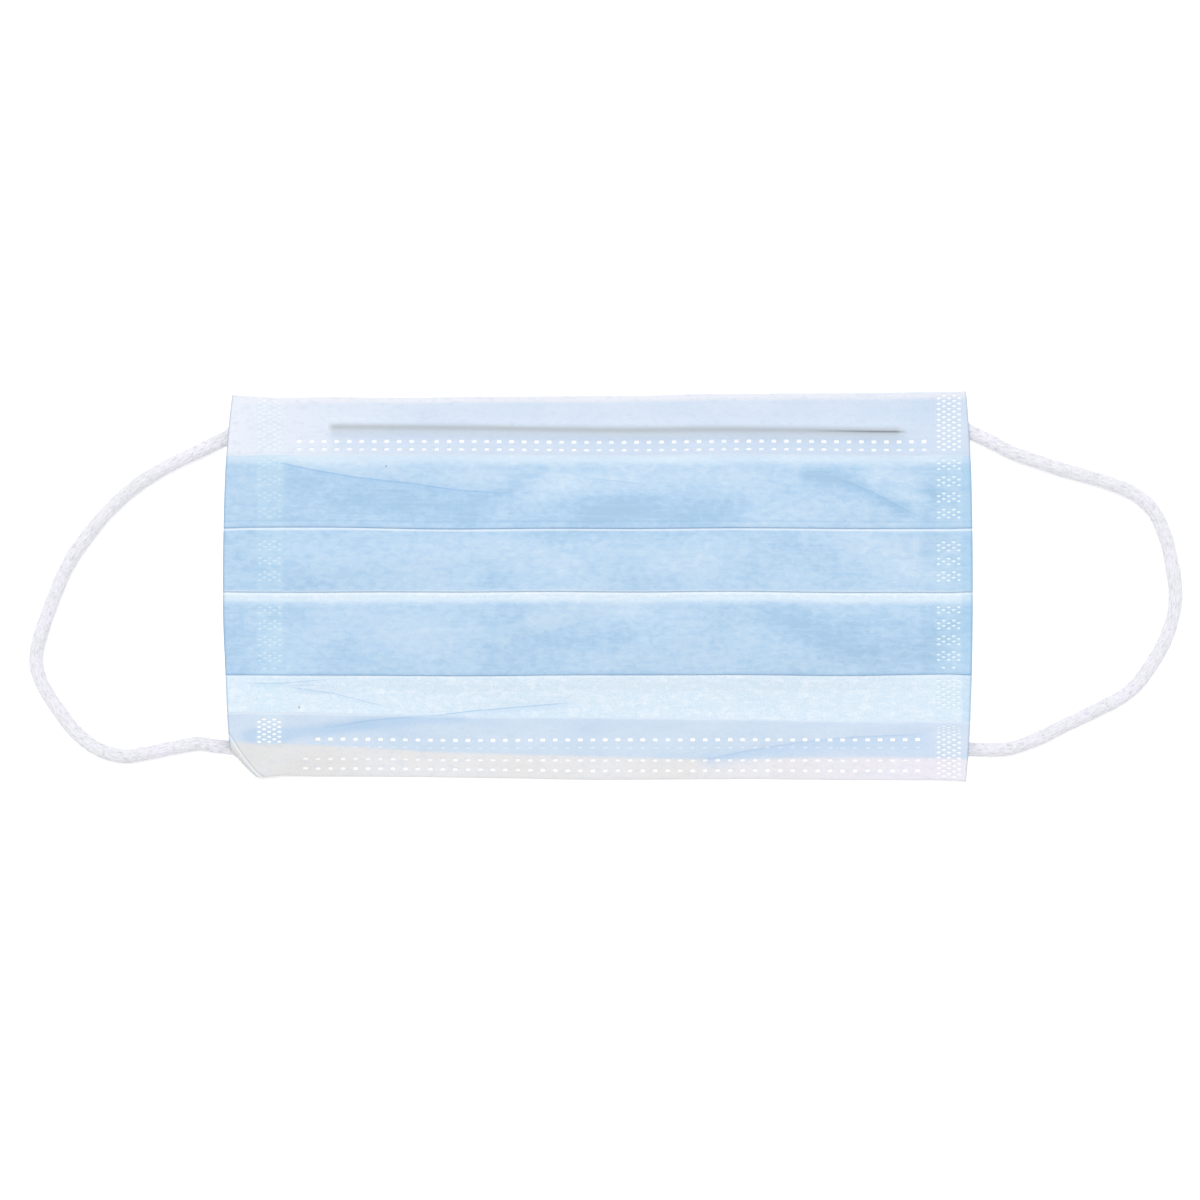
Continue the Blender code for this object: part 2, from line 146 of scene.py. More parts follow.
def even_points(points, spacing):
    """Points about one spacing apart on the smooth curve through the given ones."""
    ends = [2 * points[0] - points[1]] + points + [2 * points[-1] - points[-2]]
    fine = [points[0]]
    for quad in zip(ends, ends[1:], ends[2:], ends[3:]):
        fine += [spline_point(*quad, step / SPLINE_STEPS) for step in range(1, SPLINE_STEPS + 1)]
    lengths = [(b - a).length for a, b in zip(fine, fine[1:])]
    total = sum(lengths)
    count = max(2, round(total / spacing))
    found, walked, index = [fine[0]], 0.0, 0
    for i in range(1, count):
        wanted = total * i / count
        while walked + lengths[index] < wanted:
            walked += lengths[index]
            index += 1
        found.append(fine[index].lerp(fine[index + 1], (wanted - walked) / lengths[index]))
    return found + [fine[-1]]


RING_SPACING = 0.5
loop_paths = {}
for side, route in LOOP_ROUTES.items():
    top, bottom = LOOP_ENDS[f"{side}_top"], LOOP_ENDS[f"{side}_bottom"]
    first = leaving_point(top) - leaving_direction(top) * OVERLAP
    last = leaving_point(bottom) - leaving_direction(bottom) * OVERLAP
    knots = [first, first + leaving_direction(top) * CORD_DIAMETER]
    knots += [Vector((x, y, CORD_DIAMETER / 2)) for x, y in route]
    knots += [last + leaving_direction(bottom) * CORD_DIAMETER, last]
    loop_paths[side] = even_points(knots, RING_SPACING)
    print(f"{side} loop: {path_length(loop_paths[side]):.1f} mm long, {len(loop_paths[side])} rings")


# %% A mesh piece from points in millimetres
def new_piece(name, points, faces):
    mesh = bpy.data.meshes.new(name)
    mesh.from_pydata([Vector(point) * MM for point in points], [], faces)
    mesh.validate()
    piece = bpy.data.objects.new(name, mesh)
    bpy.context.scene.collection.objects.link(piece)
    piece.data.shade_smooth()
    return piece


def tube_faces(rings, sides):
    """The faces of a closed tube whose points are given ring by ring."""
    faces = []
    for ring in range(rings - 1):
        for side in range(sides):
            here, there = ring * sides + side, ring * sides + (side + 1) % sides
            faces.append((here, there, there + sides, here + sides))
    faces.append(tuple(range(sides))[::-1])
    faces.append(tuple((rings - 1) * sides + side for side in range(sides)))
    return faces


# %% Knitted tube along a route
RIBS = 12
RIB_DEPTH = 0.10
SIDES = RIBS * 4
TWIST = 0.011  # radians that the ribs turn by from ring to ring
UNEVEN_WIDTH = 0.06  # the cord swells and thins by up to this share of its width
LOOSE_YARN = 0.11  # mm that single yarns stand out or sink in
END_TAPER = 0.12  # the cord and its welded end are thinner by this share where they run into each other


def ease(t):
    """A smooth step from 0 to 1."""
    t = min(max(t, 0.0), 1.0)
    return t * t * (3 - 2 * t)


def along_map(piece, spacing):
    """A UV map in metres that runs along the cord and up both of its sides, so that it has no seam."""
    layer = piece.data.uv_layers.new(name="along")
    for loop in piece.data.loops:
        ring, side = divmod(loop.vertex_index, SIDES)
        round_it = abs(2 * side / SIDES - 1) * math.pi * CORD_DIAMETER / 2
        layer.data[loop.index].uv = (round_it * MM, ring * spacing * MM)


def knitted_tube(name, path):
    """A ribbed tube whose ring centres are the path, in millimetres."""
    points = []
    up = Vector((0, 0, 1))
    for number, centre in enumerate(path):
        before = path[max(number - 1, 0)]
        after = path[min(number + 1, len(path) - 1)]
        ahead = (after - before).normalized()
        across = ahead.cross(up).normalized()
        to_end = min(number, len(path) - 1 - number) * RING_SPACING / OVERLAP
        swell = 1.01 + UNEVEN_WIDTH * noise.noise(Vector((number * 0.13, len(name), 0.5)))
        swell *= 1 - END_TAPER * ease(1 - to_end)
        for side in range(SIDES):
            angle = 2 * math.pi * side / SIDES
            rib = 0.5 + 0.5 * math.cos(RIBS * (angle + number * TWIST))
            loose = noise.noise(Vector((math.cos(angle) * 3, math.sin(angle) * 3, number * 0.45)))
            radius = (CORD_DIAMETER / 2 - RIB_DEPTH * (1 - rib)) * swell + LOOSE_YARN * loose
            points.append(centre + across * radius * math.cos(angle) + up * radius * math.sin(angle))
    piece = new_piece(name, points, tube_faces(len(path), SIDES))
    along_map(piece, RING_SPACING)
    return piece


loops = {side: knitted_tube(f"{side}_elastic", path) for side, path in loop_paths.items()}
for side, piece in loops.items():
    print(f"{piece.name}: {len(piece.data.polygons)} faces")

# %% [markdown]
# ### Hairs of the elastic
#
# Knitted elastic is slightly hairy: ends of fine polyester fibre stand off it by a millimetre or less.
# A hair particle system would need a renderer setting, so each hair is a thin three-sided thread in one
# mesh for each loop. They are drawn 0.05 mm thick, about twice the real fibre, so that they show at all.

# %% Hairs
HAIRS_PER_MM = 12
HAIR_WIDTH = 0.05
HAIR_LENGTHS = (0.2, 0.75)
HAIR_ROOT = 0.12  # a hair starts this far inside the cord


def hairs_on(name, path, seed):
    """Bent three-sided threads at random places on the upper part of a cord."""
    dice = random.Random(seed)
    points, faces = [], []
    for _ in range(int(HAIRS_PER_MM * RING_SPACING * len(path))):
        index = dice.randrange(1, len(path) - 2)
        ahead = (path[index + 1] - path[index - 1]).normalized()
        across = ahead.cross(Vector((0, 0, 1)))
        angle = dice.uniform(-0.15, 1.15) * math.pi
        out = across * math.cos(angle) + Vector((0, 0, 1)) * math.sin(angle)
        root = path[index] + out * (CORD_DIAMETER / 2 - HAIR_ROOT)
        lean = ahead * dice.uniform(-1, 1) + out * dice.uniform(0.25, 0.8)
        length = dice.uniform(*HAIR_LENGTHS)
        middle = root + lean * length * 0.5
        tip = middle + (lean + ahead * dice.uniform(-0.8, 0.8) - out * 0.3) * length * 0.5
        tip.z = max(tip.z, 0.1)
        side = out.cross(lean).normalized() * HAIR_WIDTH / 2
        lift = Vector((0, 0, HAIR_WIDTH / 2))
        start = len(points)
        points += [root + side, root - side, root + lift, middle + side, middle - side, middle + lift, tip]
        around = ((0, 1), (1, 2), (2, 0))
        faces += [(start + a, start + b, start + b + 3, start + a + 3) for a, b in around]
        faces += [(start + a + 3, start + b + 3, start + 6) for a, b in around]
    return new_piece(name, points, faces)


hairs = {
    side: hairs_on(f"{side}_elastic_hairs", path, seed)
    for seed, (side, path) in enumerate(loop_paths.items())
}
for side, piece in loops.items():
    path = loop_paths[side]
    length = path_length(path)
    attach(piece, "root")
    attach(hairs[side], "root")
    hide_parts(f"ear_loop_{side}")
    print(f"{piece.name} replaces ear_loop_{side}, {length:.1f} mm")

# %% [markdown]
# ### Welded ends of the loops
#
# Under each corner of the mask the elastic is pressed flat between the horn and the wheel of an
# ultrasonic welder, so it grows from a round cord to a wide thin tab. A loft of ribbed rings gives this,
# with the ribs fading out where the fibres have melted together.

# %% Ends that grow flat
TAB_THICKNESS = 0.6
TAB_WIDTH = 5.0
TAB_LENGTH = 6.5
TAB_RINGS = 27
WIDEN_SHARE = 0.45  # the tab has its full width after this share of its length
FLATTEN_FROM = 0.7  # the cord starts to flatten after this share of its overlap
SIDE_BULGE = 1.7
SIDE_BULGE_POWER = 2.4
CORNER_CUT_WIDTH = 9.0
CORNER_CUT_HEIGHT = 12.0
CORNER_CUT_POWER = 1.5


def side_inset(side, y):
    """How far the side edge lies inside half the mask's width, at this height."""
    inset = SIDE_BULGE * min(abs(y) / TOP, 1.0) ** SIDE_BULGE_POWER
    if side < 0:
        down = (BOTTOM + CORNER_CUT_HEIGHT - y) / CORNER_CUT_HEIGHT
        down = min(max(down, 0.0), 1.0) ** CORNER_CUT_POWER
        inset += CORNER_CUT_WIDTH * (1 - (1 - down) ** (1 / CORNER_CUT_POWER))
    return inset


def rounded(angle, power):
    """A point of a rounded rectangle from -1 to 1: a circle at power 1, boxier below it."""
    return [math.copysign(abs(value) ** power, value) for value in (math.cos(angle), math.sin(angle))]


def welded_end(name, end):
    """The end of a loop: round where it meets the cord, flat and wide under the mask."""
    way, origin = leaving_direction(end), leaving_point(end)
    side = Vector((-way.y, way.x, 0))
    neck = (EXIT_X - HALF + side_inset(end["side"], origin.y)) / abs(way.x)
    spacing = (neck + TAB_LENGTH) / (TAB_RINGS - 1)
    flatten_from = OVERLAP * FLATTEN_FROM
    points = []
    for step in range(TAB_RINGS):
        back = step * spacing
        flat = ease((back - neck) / (TAB_LENGTH * WIDEN_SHARE))
        round_size = CORD_DIAMETER * (1 - END_TAPER * ease(1 - back / OVERLAP))
        width = round_size + (TAB_WIDTH - CORD_DIAMETER) * flat
        pressed = ease((back - flatten_from) / (neck - flatten_from))
        thickness = round_size + (TAB_THICKNESS - CORD_DIAMETER) * pressed
        centre = Vector((origin.x, origin.y, 0)) - way * back
        for number in range(SIDES):
            angle = 2 * math.pi * number / SIDES
            rib = RIB_DEPTH * (1 - flat) * (0.5 - 0.5 * math.cos(RIBS * angle))
            across, above = rounded(angle, 1 - 0.5 * flat)
            above = above * (thickness / 2 - rib) + thickness / 2
            points.append(centre + side * across * (width / 2 - rib) + Vector((0, 0, above)))
    piece = new_piece(name, points, tube_faces(TAB_RINGS, SIDES))
    along_map(piece, spacing)
    return piece


tabs = []
for name, end in LOOP_ENDS.items():
    tab = welded_end(f"{name}_welded_end", end)
    mesh = bmesh.new()
    mesh.from_mesh(tab.data)
    bmesh.ops.recalc_face_normals(mesh, faces=mesh.faces)
    mesh.to_mesh(tab.data)
    mesh.free()
    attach(tab, "root")
    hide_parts(f"loop_end_{name}")
    tabs.append(tab)
    print(f"{tab.name} replaces loop_end_{name}")

# %% [markdown]
# ## How the mask lies
#
# Real mask cloth is three thin plies, pressed to 0.2 mm together. Its pleats hold the middle a few
# millimetres off the table, its corners lie on the welded ends, and handling has left soft swells and a
# few sharp creases. All sheets of the mask go through one function that moves a point of the flat, pressed
# mask to its place, so layers that lie on each other stay on each other.

# %% Levels, hems and seals
CLOTH = 0.22  # all three plies
HEM_PLY = 0.14  # the inner ply alone
TOP_HEM_EDGE = TOP - 15.3
BOTTOM_HEM_EDGE = BOTTOM + 15.5
LEFT_SEAL = (-79.9, -74.05)
RIGHT_SEAL = (79.3, 85.3)
SEAL_COLUMN = 1.2
DOT_ROW = 0.625
HEM_DOT_PITCH = 2.931
HEM_DOTS = (-73.73, 78.68)
# How far the real edges stray from straight ones: (x, upward shift)
TOP_EDGE_LINE = (
    (-88, -0.7), (-83, -1.0), (-75, -1.4), (-62, -1.1), (-48, -1.4), (-30, -1.1), (10, -0.85),
    (24, -0.4), (60, -0.2), (78, 0.0), (88, 0.2),
)
BOTTOM_EDGE_LINE = (
    (-88, 0.2), (-80, 0.8), (-74, 1.4), (-66, 1.0), (-46, 0.95), (-23, 0.65), (0, 0.2),
    (36, 0.45), (58, 0.15), (80, 0.3), (88, -0.2),
)
CROWN = 3.2  # the middle of the pleats stands this much higher than the edges
CROWN_RUN = 24.0
CORNER_LIFT = 0.75
TURNED_CORNER_LIFT = 1.6
LEFT_BULGE = 2.3
CORNER_REACH = 9.0
CORNER_LIFT_RUN = 15.0
TABLE_GAP = 0.11  # half a ply's thickness, so that the lowest cloth lies on the table


def on_line(line, x):
    """The height of a broken line, given by its corners, at this x."""
    for (ax, ay), (bx, by) in zip(line, line[1:]):
        if x <= bx:
            return ay + (by - ay) * (x - ax) / (bx - ax)
    return line[-1][1]


print(f"the nose edge is {-on_line(TOP_EDGE_LINE, 0):.1f} mm low in the middle")

# %% Soft swells
SWELLS = (
    {"line": ((-75.7, 27.5), (-19.4, 20.6)), "rise": -0.35},
    {"line": ((54.6, 25.6), (75.7, 15.6)), "rise": 0.40},
    {"line": ((-70.4, 4.6), (-39.6, 7.3)), "rise": 0.30},
    {"line": ((-14.1, -13.7), (10.6, -5.9)), "rise": -0.30},
    {"line": ((39.6, -16.5), (74.8, -11.0)), "rise": 0.35},
)
SWELL_REACH = 10.0


def distance_to_line(x, y, line):
    """How far a point is from a broken line, and how far above it (+) or below it (-)."""
    best, signed = 1e9, 1e9
    for (ax, ay), (bx, by) in zip(line, line[1:]):
        dx, dy = bx - ax, by - ay
        t = min(max(((x - ax) * dx + (y - ay) * dy) / (dx * dx + dy * dy), 0.0), 1.0)
        apart = math.hypot(x - ax - dx * t, y - ay - dy * t)
        if apart < best:
            best = apart
            signed = ((y - ay) * dx - (x - ax) * dy) / math.hypot(dx, dy)
    return best, signed


def swell_share(x, y):
    """The rise of the soft swells here, as a share of the crown."""
    total = 0.0
    for row in SWELLS:
        total += row["rise"] * ease(1 - distance_to_line(x, y, row["line"])[0] / SWELL_REACH)
    return total


# %% Creases
# Each crease: its line from left to right in millimetres, its depth, its width, and how strongly its painted
# line and shade show
CREASES = (
    {
        "line": ((-77, 29.4), (-66, 27.0), (-56, 25.4), (-44, 24.2), (-32, 22.6), (-20, 21.8)),
        "depth": 0.13, "width": 0.8, "sharp": 0.8,
    },
    {"line": ((-4, 25.6), (5, 24.8), (15, 23.4)), "depth": 0.06, "width": 0.7, "sharp": 0.35},
    {
        "line": ((54, 26.0), (59, 24.4), (64, 22.4), (70, 19.2), (79, 14.7)),
        "depth": 0.14, "width": 1.3, "sharp": 0.5,
    },
    {"line": ((69, 23.8), (79, 22.4)), "depth": 0.06, "width": 0.9, "sharp": 0.15},
    {"line": ((-18, -12.6), (-8, -9.6), (5, -6.2)), "depth": 0.12, "width": 1.5, "sharp": 0.15},
    {"line": ((-84, -22.8), (-76, -22.8), (-60, -21.6)), "depth": 0.08, "width": 0.9, "sharp": 0.45},
    {
        "line": ((-74, -23.4), (-62, -25.2), (-54, -27.2), (-46, -29.0)),
        "depth": 0.12, "width": 1.2, "sharp": 0.4,
    },
    {
        "line": (
            (-64, -33.4), (-54, -31.6), (-46, -30.8), (-38, -30.2), (-30, -29.1), (-14, -27.9), (-4, -27.2),
        ),
        "depth": 0.16, "width": 1.0, "sharp": 0.6,
    },
    {
        "line": ((22, -41.6), (34, -39.0), (48, -36.6), (60, -35.4), (78, -34.8)),
        "depth": 0.16, "width": 1.2, "sharp": 0.45,
    },
)


def nearest_crease(x, y):
    """The distance above the nearest crease's line, and how strongly the crease's painted shade shows beside
    this point.
    """
    best = (99.0, 0.0)
    least = 6.0
    for row in CREASES:
        apart, signed = distance_to_line(x, y, row["line"])
        if apart < least:
            least = apart
            start, end = row["line"][0][0], row["line"][-1][0]
            fade = ease((x - start) / 5) * ease((end - x) / 8)
            best = (signed, row["sharp"] * fade * ease((2.4 - apart) / 1.6))
    return best


def crease_drop(x, y):
    """How deep the creases press the cloth here; beside each one it stands up a little."""
    total = 0.0
    for row in CREASES:
        apart = distance_to_line(x, y, row["line"])[0] / row["width"]
        if apart < 4:
            total += row["depth"] * (math.exp(-apart * apart) - 0.4 * math.exp(-((apart - 1.7) ** 2)))
    return total


# %% The corner that is turned under
# At the lower left the stack of plies is folded under along a slant, and the flap lies below it
TURN_FROM = Vector((-88.6, -33.2))
TURN_TO = Vector((-77.1, -46.4))
TURN_BOW = 0.95
TURN_INNER = 0.2  # the radius of the bend at the underside of the stack
TURN_MIDDLE = TURN_INNER + 0.25  # and at the middle of the stack
turn_along = (TURN_TO - TURN_FROM).normalized()
turn_out = Vector((turn_along.y, -turn_along.x))


def past_turn(x, y):
    """How far a point is beyond the slant, or inside it where the number is below 0."""
    place = Vector((x, y)) - TURN_FROM
    t = place.dot(turn_along) / (TURN_TO - TURN_FROM).length
    return place.dot(turn_out) - TURN_BOW * math.sin(math.pi * min(max(t, 0.0), 1.0))


def turn_under(x, y, z, base):
    """Bends a point of the stack round the slant; base is the height of the stack's underside."""
    past = past_turn(x, y)
    if past <= 0 or x > -60:
        return x, y, z
    radius = TURN_INNER + max(z - base, 0.0) * 0.6
    angle = min(past / TURN_MIDDLE, math.pi)
    rest = max(past - math.pi * TURN_MIDDLE, 0.0)
    shift = radius * math.sin(angle) - rest - past
    spare = (z - base - radius + TURN_INNER) * (1 - angle / math.pi)
    height = base - TURN_INNER + radius * math.cos(angle) + spare
    return x + turn_out.x * shift, y + turn_out.y * shift, height


# %% From the flat mask to the lying one
def lie(x, y, z):
    """Moves a point of the flat, pressed mask, at height z over the table, to where it lies."""
    side = 1 if x > 0 else -1
    inner = RIGHT_SEAL[1] if side > 0 else -LEFT_SEAL[0]
    out = min(max((abs(x) - inner) / (HALF - inner), 0.0), 1.0)
    between = ease((TOP_HEM_EDGE - y) / CROWN_RUN) * ease((y - BOTTOM_HEM_EDGE) / CROWN_RUN)
    crown = between * (1 - min(abs(x) / HALF, 1.0) ** 2) ** 2
    crown = max(crown + math.sqrt(between) * swell_share(x, y), 0.0)
    near_side = ease((abs(x) - HALF + CORNER_REACH) / CORNER_LIFT_RUN + 1)
    near_top = ease((y - TOP_HEM_EDGE) / CORNER_LIFT_RUN + 1)
    near_bottom = ease((BOTTOM_HEM_EDGE - y) / CORNER_LIFT_RUN + 1)
    corner = TURNED_CORNER_LIFT if side < 0 and y < 0 else CORNER_LIFT
    rise = 0.0
    for line, inner_edge, edge in (
        (TOP_EDGE_LINE, TOP_HEM_EDGE, TOP), (BOTTOM_EDGE_LINE, BOTTOM_HEM_EDGE, BOTTOM),
    ):
        near_edge = (y - inner_edge) / (edge - inner_edge)
        rise += on_line(line, x) * min(max(near_edge, 0.0), 1.0) ** 2
    inside = ease((HALF - abs(x)) / 6)
    ripple = noise.noise(Vector((x / 17, y / 9, 3.1))) * 0.22
    ripple += noise.noise(Vector((x / 6, y / 3.5, 7.7))) * 0.07
    wander = 0.35 * noise.noise(Vector((x / 33, y / 25, 1.3)))
    base = CROWN * crown + corner * near_side * max(near_top, near_bottom) + (ripple + 0.25) * inside
    bow = (SIDE_BULGE if side > 0 else LEFT_BULGE) * min(abs(y) / TOP, 1.0) ** SIDE_BULGE_POWER
    bow += 0.35 * ease((-5 - y) / 20) if side < 0 else 0.0
    x, y, z = turn_under(
        x - side * bow * out,
        y + rise + wander * inside * ease((TOP - abs(y)) / 5),
        z + base, base,
    )
    return Vector((x, y, max(z - crease_drop(x, y) * inside, TABLE_GAP)))


# %% [markdown]
# ## Sheets with weld dots
#
# The seals and hems are not sewn. A patterned wheel presses rows of small lens-shaped dots into the
# cloth and melts it there. Each dot is a real dent in the mesh: two cells of the sheet's grid, one above
# the other, give way to a rim, a slope and a floor. A bump map would be lighter, but its dots would have
# no depth at the seal's edge and none in the exported mesh.

# %% Columns shared by all sheets
def spread(start, end, step):
    """Even places from start on, about one step apart, without the end itself."""
    count = max(1, round((end - start) / step))
    return [start + (end - start) * i / count for i in range(count)]


columns = spread(-HALF, LEFT_SEAL[0], 0.8)
left_seal_start = len(columns)
columns += spread(*LEFT_SEAL, SEAL_COLUMN)
left_seal_end = len(columns)
columns.append(LEFT_SEAL[1])
middle_start = len(columns)
columns += spread(*HEM_DOTS, HEM_DOT_PITCH / 2) + [HEM_DOTS[1]]
right_seal_start = len(columns)
columns += spread(*RIGHT_SEAL, SEAL_COLUMN)
right_seal_end = len(columns)
columns += spread(RIGHT_SEAL[1], HALF, 0.85) + [HALF]
seal_columns = [(i, i - left_seal_start) for i in range(left_seal_start, left_seal_end)]
seal_columns += [(i, i - right_seal_start) for i in range(right_seal_start, right_seal_end)]
print(f"{len(columns)} columns across the mask")


# %% A sheet from rows and columns
def new_row(y, level, bulge=0.0, facing=1, **marks):
    """One row of a sheet: where it is on the flat mask, its level, its bulge in a fold, its side up."""
    return {"y": y, "level": level, "bulge": bulge, "facing": facing, **marks}


RIM = ((-0.5, 0.0), (-1, 0.5), (1, 0.5), (0.5, 0.0), (1, -0.5), (-1, -0.5))  # six points round a dot


def sheet_mesh(name, rows, height_at, marks_at, dots):
    """A sheet of cloth and its length; dots maps (column, row) to a dot in that cell and the one below."""
    points, uvs, marks, faces = [], [], [], []
    flat = [0.0]  # how far along the unfolded cloth each row lies
    for above, below in zip(rows, rows[1:]):
        rise = (below["level"] - above["level"]) * 0.6
        flat.append(flat[-1] + max(math.hypot(below["y"] - above["y"], rise), 0.05))

    def point_at(x, row, part, dip, pressed):
        """A point of the sheet at x, a part of the way from this row to the next one."""
        above, below = rows[row], rows[min(row + 1, len(rows) - 1)]
        y, level, bulge, tint, slant = (
            above.get(key, 0.0) + (below.get(key, 0.0) - above.get(key, 0.0)) * part
            for key in ("y", "level", "bulge", "tint", "slant")
        )
        y += slant * (x / HALF + 1) / 2
        low, gap = height_at(x, y)
        points.append(lie(x, y + bulge * gap / 2, low + gap * level - dip * above["facing"]))
        along = flat[row] + (flat[min(row + 1, len(rows) - 1)] - flat[row]) * part
        uvs.append((x * MM, along * MM))
        marks.append({"pressed": pressed, "tint": tint, **marks_at(x, y, above)})
        return len(points) - 1

    grid = [[point_at(x, row, 0.0, 0.0, 0.0) for x in columns] for row in range(len(rows))]
    taken = set()
    for (column, row), dot in dots.items():
        taken |= {(column, row), (column, row + 1)}
        edge = [
            grid[row + 1][column], grid[row][column], grid[row][column + 1],
            grid[row + 1][column + 1], grid[row + 2][column + 1], grid[row + 2][column],
        ]
        centre = (columns[column] + columns[column + 1]) / 2
        tall = abs(rows[row]["y"] - rows[row + 2]["y"])
        rings = [edge]
        for scale, dip, pressed in ((1.03, 0.0, 0.1), (0.92, 0.8, 1.0)):
            ring = []
            for across, up in RIM:
                across *= dot["shoulder"] if up else 1.0
                part = 1 - up * dot["height"] * scale / tall * 2
                step = min(int(part), 1)
                ring.append(point_at(
                    centre + across * dot["width"] * scale, row + step, part - step,
                    dip * dot["depth"], pressed * dot["strength"],
                ))
            rings.append(ring)
        for outer, inner in zip(rings, rings[1:]):
            for i in range(6):
                j = (i + 1) % 6
                faces.append((inner[i], inner[j], outer[j], outer[i]))
        floor_point = point_at(centre, row + 1, 0.0, dot["depth"], dot["strength"])
        faces += [(floor_point, rings[-1][(i + 1) % 6], rings[-1][i]) for i in range(6)]
    for row, (upper, lower) in enumerate(zip(grid, grid[1:])):
        for column in range(len(columns) - 1):
            if (column, row) not in taken:
                faces.append((upper[column + 1], lower[column + 1], lower[column], upper[column]))
    piece = new_piece(name, points, faces)
    layer = piece.data.uv_layers.new(name="flat_cloth")
    for loop in piece.data.loops:
        layer.data[loop.index].uv = uvs[loop.vertex_index]
    for key in marks[0]:
        attribute = piece.data.attributes.new(key, "FLOAT", "POINT")
        attribute.data.foreach_set("value", [float(mark[key]) for mark in marks])
    mesh = bmesh.new()
    mesh.from_mesh(piece.data)
    bmesh.ops.recalc_face_normals(mesh, faces=mesh.faces)
    mesh.faces.ensure_lookup_table()
    if mesh.faces[-1].normal.z * rows[-1]["facing"] < 0:
        bmesh.ops.reverse_faces(mesh, faces=mesh.faces)
    mesh.to_mesh(piece.data)
    mesh.free()
    return piece, flat[-1]


def thicken(piece, thickness, back_material=0):
    """Gives a sheet its wall; the back and the cut edges may have a material of their own."""
    wall = piece.modifiers.new("plies", "SOLIDIFY")
    wall.thickness = thickness * MM
    wall.offset = 0
    wall.use_rim = True
    wall.material_offset = back_material
    wall.material_offset_rim = back_material


# %% [markdown]
# ## The pleated panel
#
# The outer side is one sheet of blue spunbond cloth with a filter and a white inner ply behind it. It is
# folded three times like a skirt's knife pleats, so that under each fold lie three layers. The sheet is
# built as it is made: one path from the top edge to the bottom edge, folded back and forth. Modelling
# only what shows would leave the pleats hollow from the side and from below.

# %% Path of the cloth
FOLDS = (13.73, -1.28, -20.77)
HIDDEN_FOLDS = (28.9, 13.0, -3.5)
TURN_STEPS = 6
CLIMB_FROM = (1.3, 0.2, 1.2)  # the level at which the cloth starts to climb over each pleat
CLIMB_RUN = 1.4
CLIMB_ABOVE = 0.8  # it starts this far above the pleat's hidden fold
BLUE_PLY_SETBACK = 5.6  # the laminate stops this far above the bottom edge
# Rows just above each fold: how far above it, and its painted light (+) or painted shade (-) there
FOLD_LINES = (
    ((1.9, 0.0), (1.5, -0.25), (1.3, 0.0), (0.65, 0.02), (0.45, -0.3)),
    ((0.95, 0.0), (0.6, 0.0)),
    ((0.95, 0.0), (0.6, -0.1)),
)
BELOW_FOLD = (-0.4, -0.1, 0.1, 0.3, 0.5, 0.75)  # rows just below each fold
# Painted shade on the turn of each fold, and in the groove just below it
FOLD_SHADE = -0.25
UNDER_SHADE = -0.2
UNDER_LEVEL = 1.3  # just below a fold the single cloth swells up to this level against the layers above
# Painted highlight on the line just below each fold
LIT_BELOW = (0.6, 0.35, 0.15)  # how bright the line just below each fold is


def rows_between(start, end, step, level_start, level_end, facing, **marks):
    """Rows about one step apart, from start up to but not at the end."""
    count = max(1, round(abs(end - start) / step))
    made = []
    for i in range(count):
        share = i / count
        level = level_start + (level_end - level_start) * share
        made.append(new_row(start + (end - start) * share, level, 0.0, facing, **marks))
    return made


def fold(y, top_level, way, **marks):
    """A half turn from one level to the one below, bulging down (-1) or up (+1) the mask."""
    made = []
    for step in range(TURN_STEPS + 1):
        angle = math.pi * step / TURN_STEPS
        level = top_level - 0.5 + math.cos(angle) / 2
        facing = 1 if (step < TURN_STEPS / 2) == (way < 0) else -1
        made.append(new_row(y, level, way * math.sin(angle), facing, **marks))
    return made


panel_rows = rows_between(TOP - 1.0, TOP_HEM_EDGE + 1.0, 3.0, 1, 1, 1, plies=1)
dot_starts = [len(panel_rows)]
first_climb = HIDDEN_FOLDS[0] + CLIMB_ABOVE
panel_rows += rows_between(TOP_HEM_EDGE + 1.0, first_climb, DOT_ROW, 1, CLIMB_FROM[0], 1, plies=3)
for number, (front, back) in enumerate(zip(FOLDS, HIDDEN_FOLDS)):
    # Up onto the pleat, and down its outer side to the fold that shows
    climb = back + CLIMB_ABOVE
    step = 0.2 if number else DOT_ROW
    panel_rows += rows_between(climb, climb - CLIMB_RUN, step, CLIMB_FROM[number], 2, 1, plies=3)
    if number:
        dot_starts.append(len(panel_rows))
    last = front + FOLD_LINES[number][0][0]
    panel_rows += rows_between(climb - CLIMB_RUN, last, DOT_ROW, 2, 2, 1, plies=3)
    panel_rows += [new_row(front + up, 2, 0.0, 1, plies=3, tint=tint) for up, tint in FOLD_LINES[number]]
    panel_rows += fold(front + 0.25, 2, -1, plies=3, tint=FOLD_SHADE)
    # Back up inside the pleat to the hidden fold, and down again below it
    panel_rows += rows_between(front + 0.7, back - 0.6, 2.0, 1, 1, -1, plies=3)
    panel_rows += fold(back - 0.6, 1, 1, plies=3)
    panel_rows += rows_between(back - 0.8, front + 0.5, 2.0, 0, 0, 1, plies=3)
    # Out from under the fold, down to the next pleat or the hem
    below = HIDDEN_FOLDS[number + 1] + CLIMB_ABOVE if number < 2 else BOTTOM_HEM_EDGE + 1.0
    under = len(panel_rows)
    for down in BELOW_FOLD:
        if front - down > below + 0.1:
            tint = UNDER_SHADE if down < 0.2 else 0.0
            panel_rows.append(new_row(front - down, 0.0, 0.0, 1, plies=1, tint=tint))
    if front - 0.9 > below + 0.1:
        if number == 2:
            dot_starts.append(len(panel_rows))
        panel_rows += rows_between(front - 0.9, below, DOT_ROW, 0, 0.2, 1, plies=1)
    for row in panel_rows[under:]:
        swell = UNDER_LEVEL * ease((front + 0.1 - row["y"]) / 0.4) * ease((row["y"] - front + 4.5) / 3.5)
        row["level"] = max(row["level"], swell)
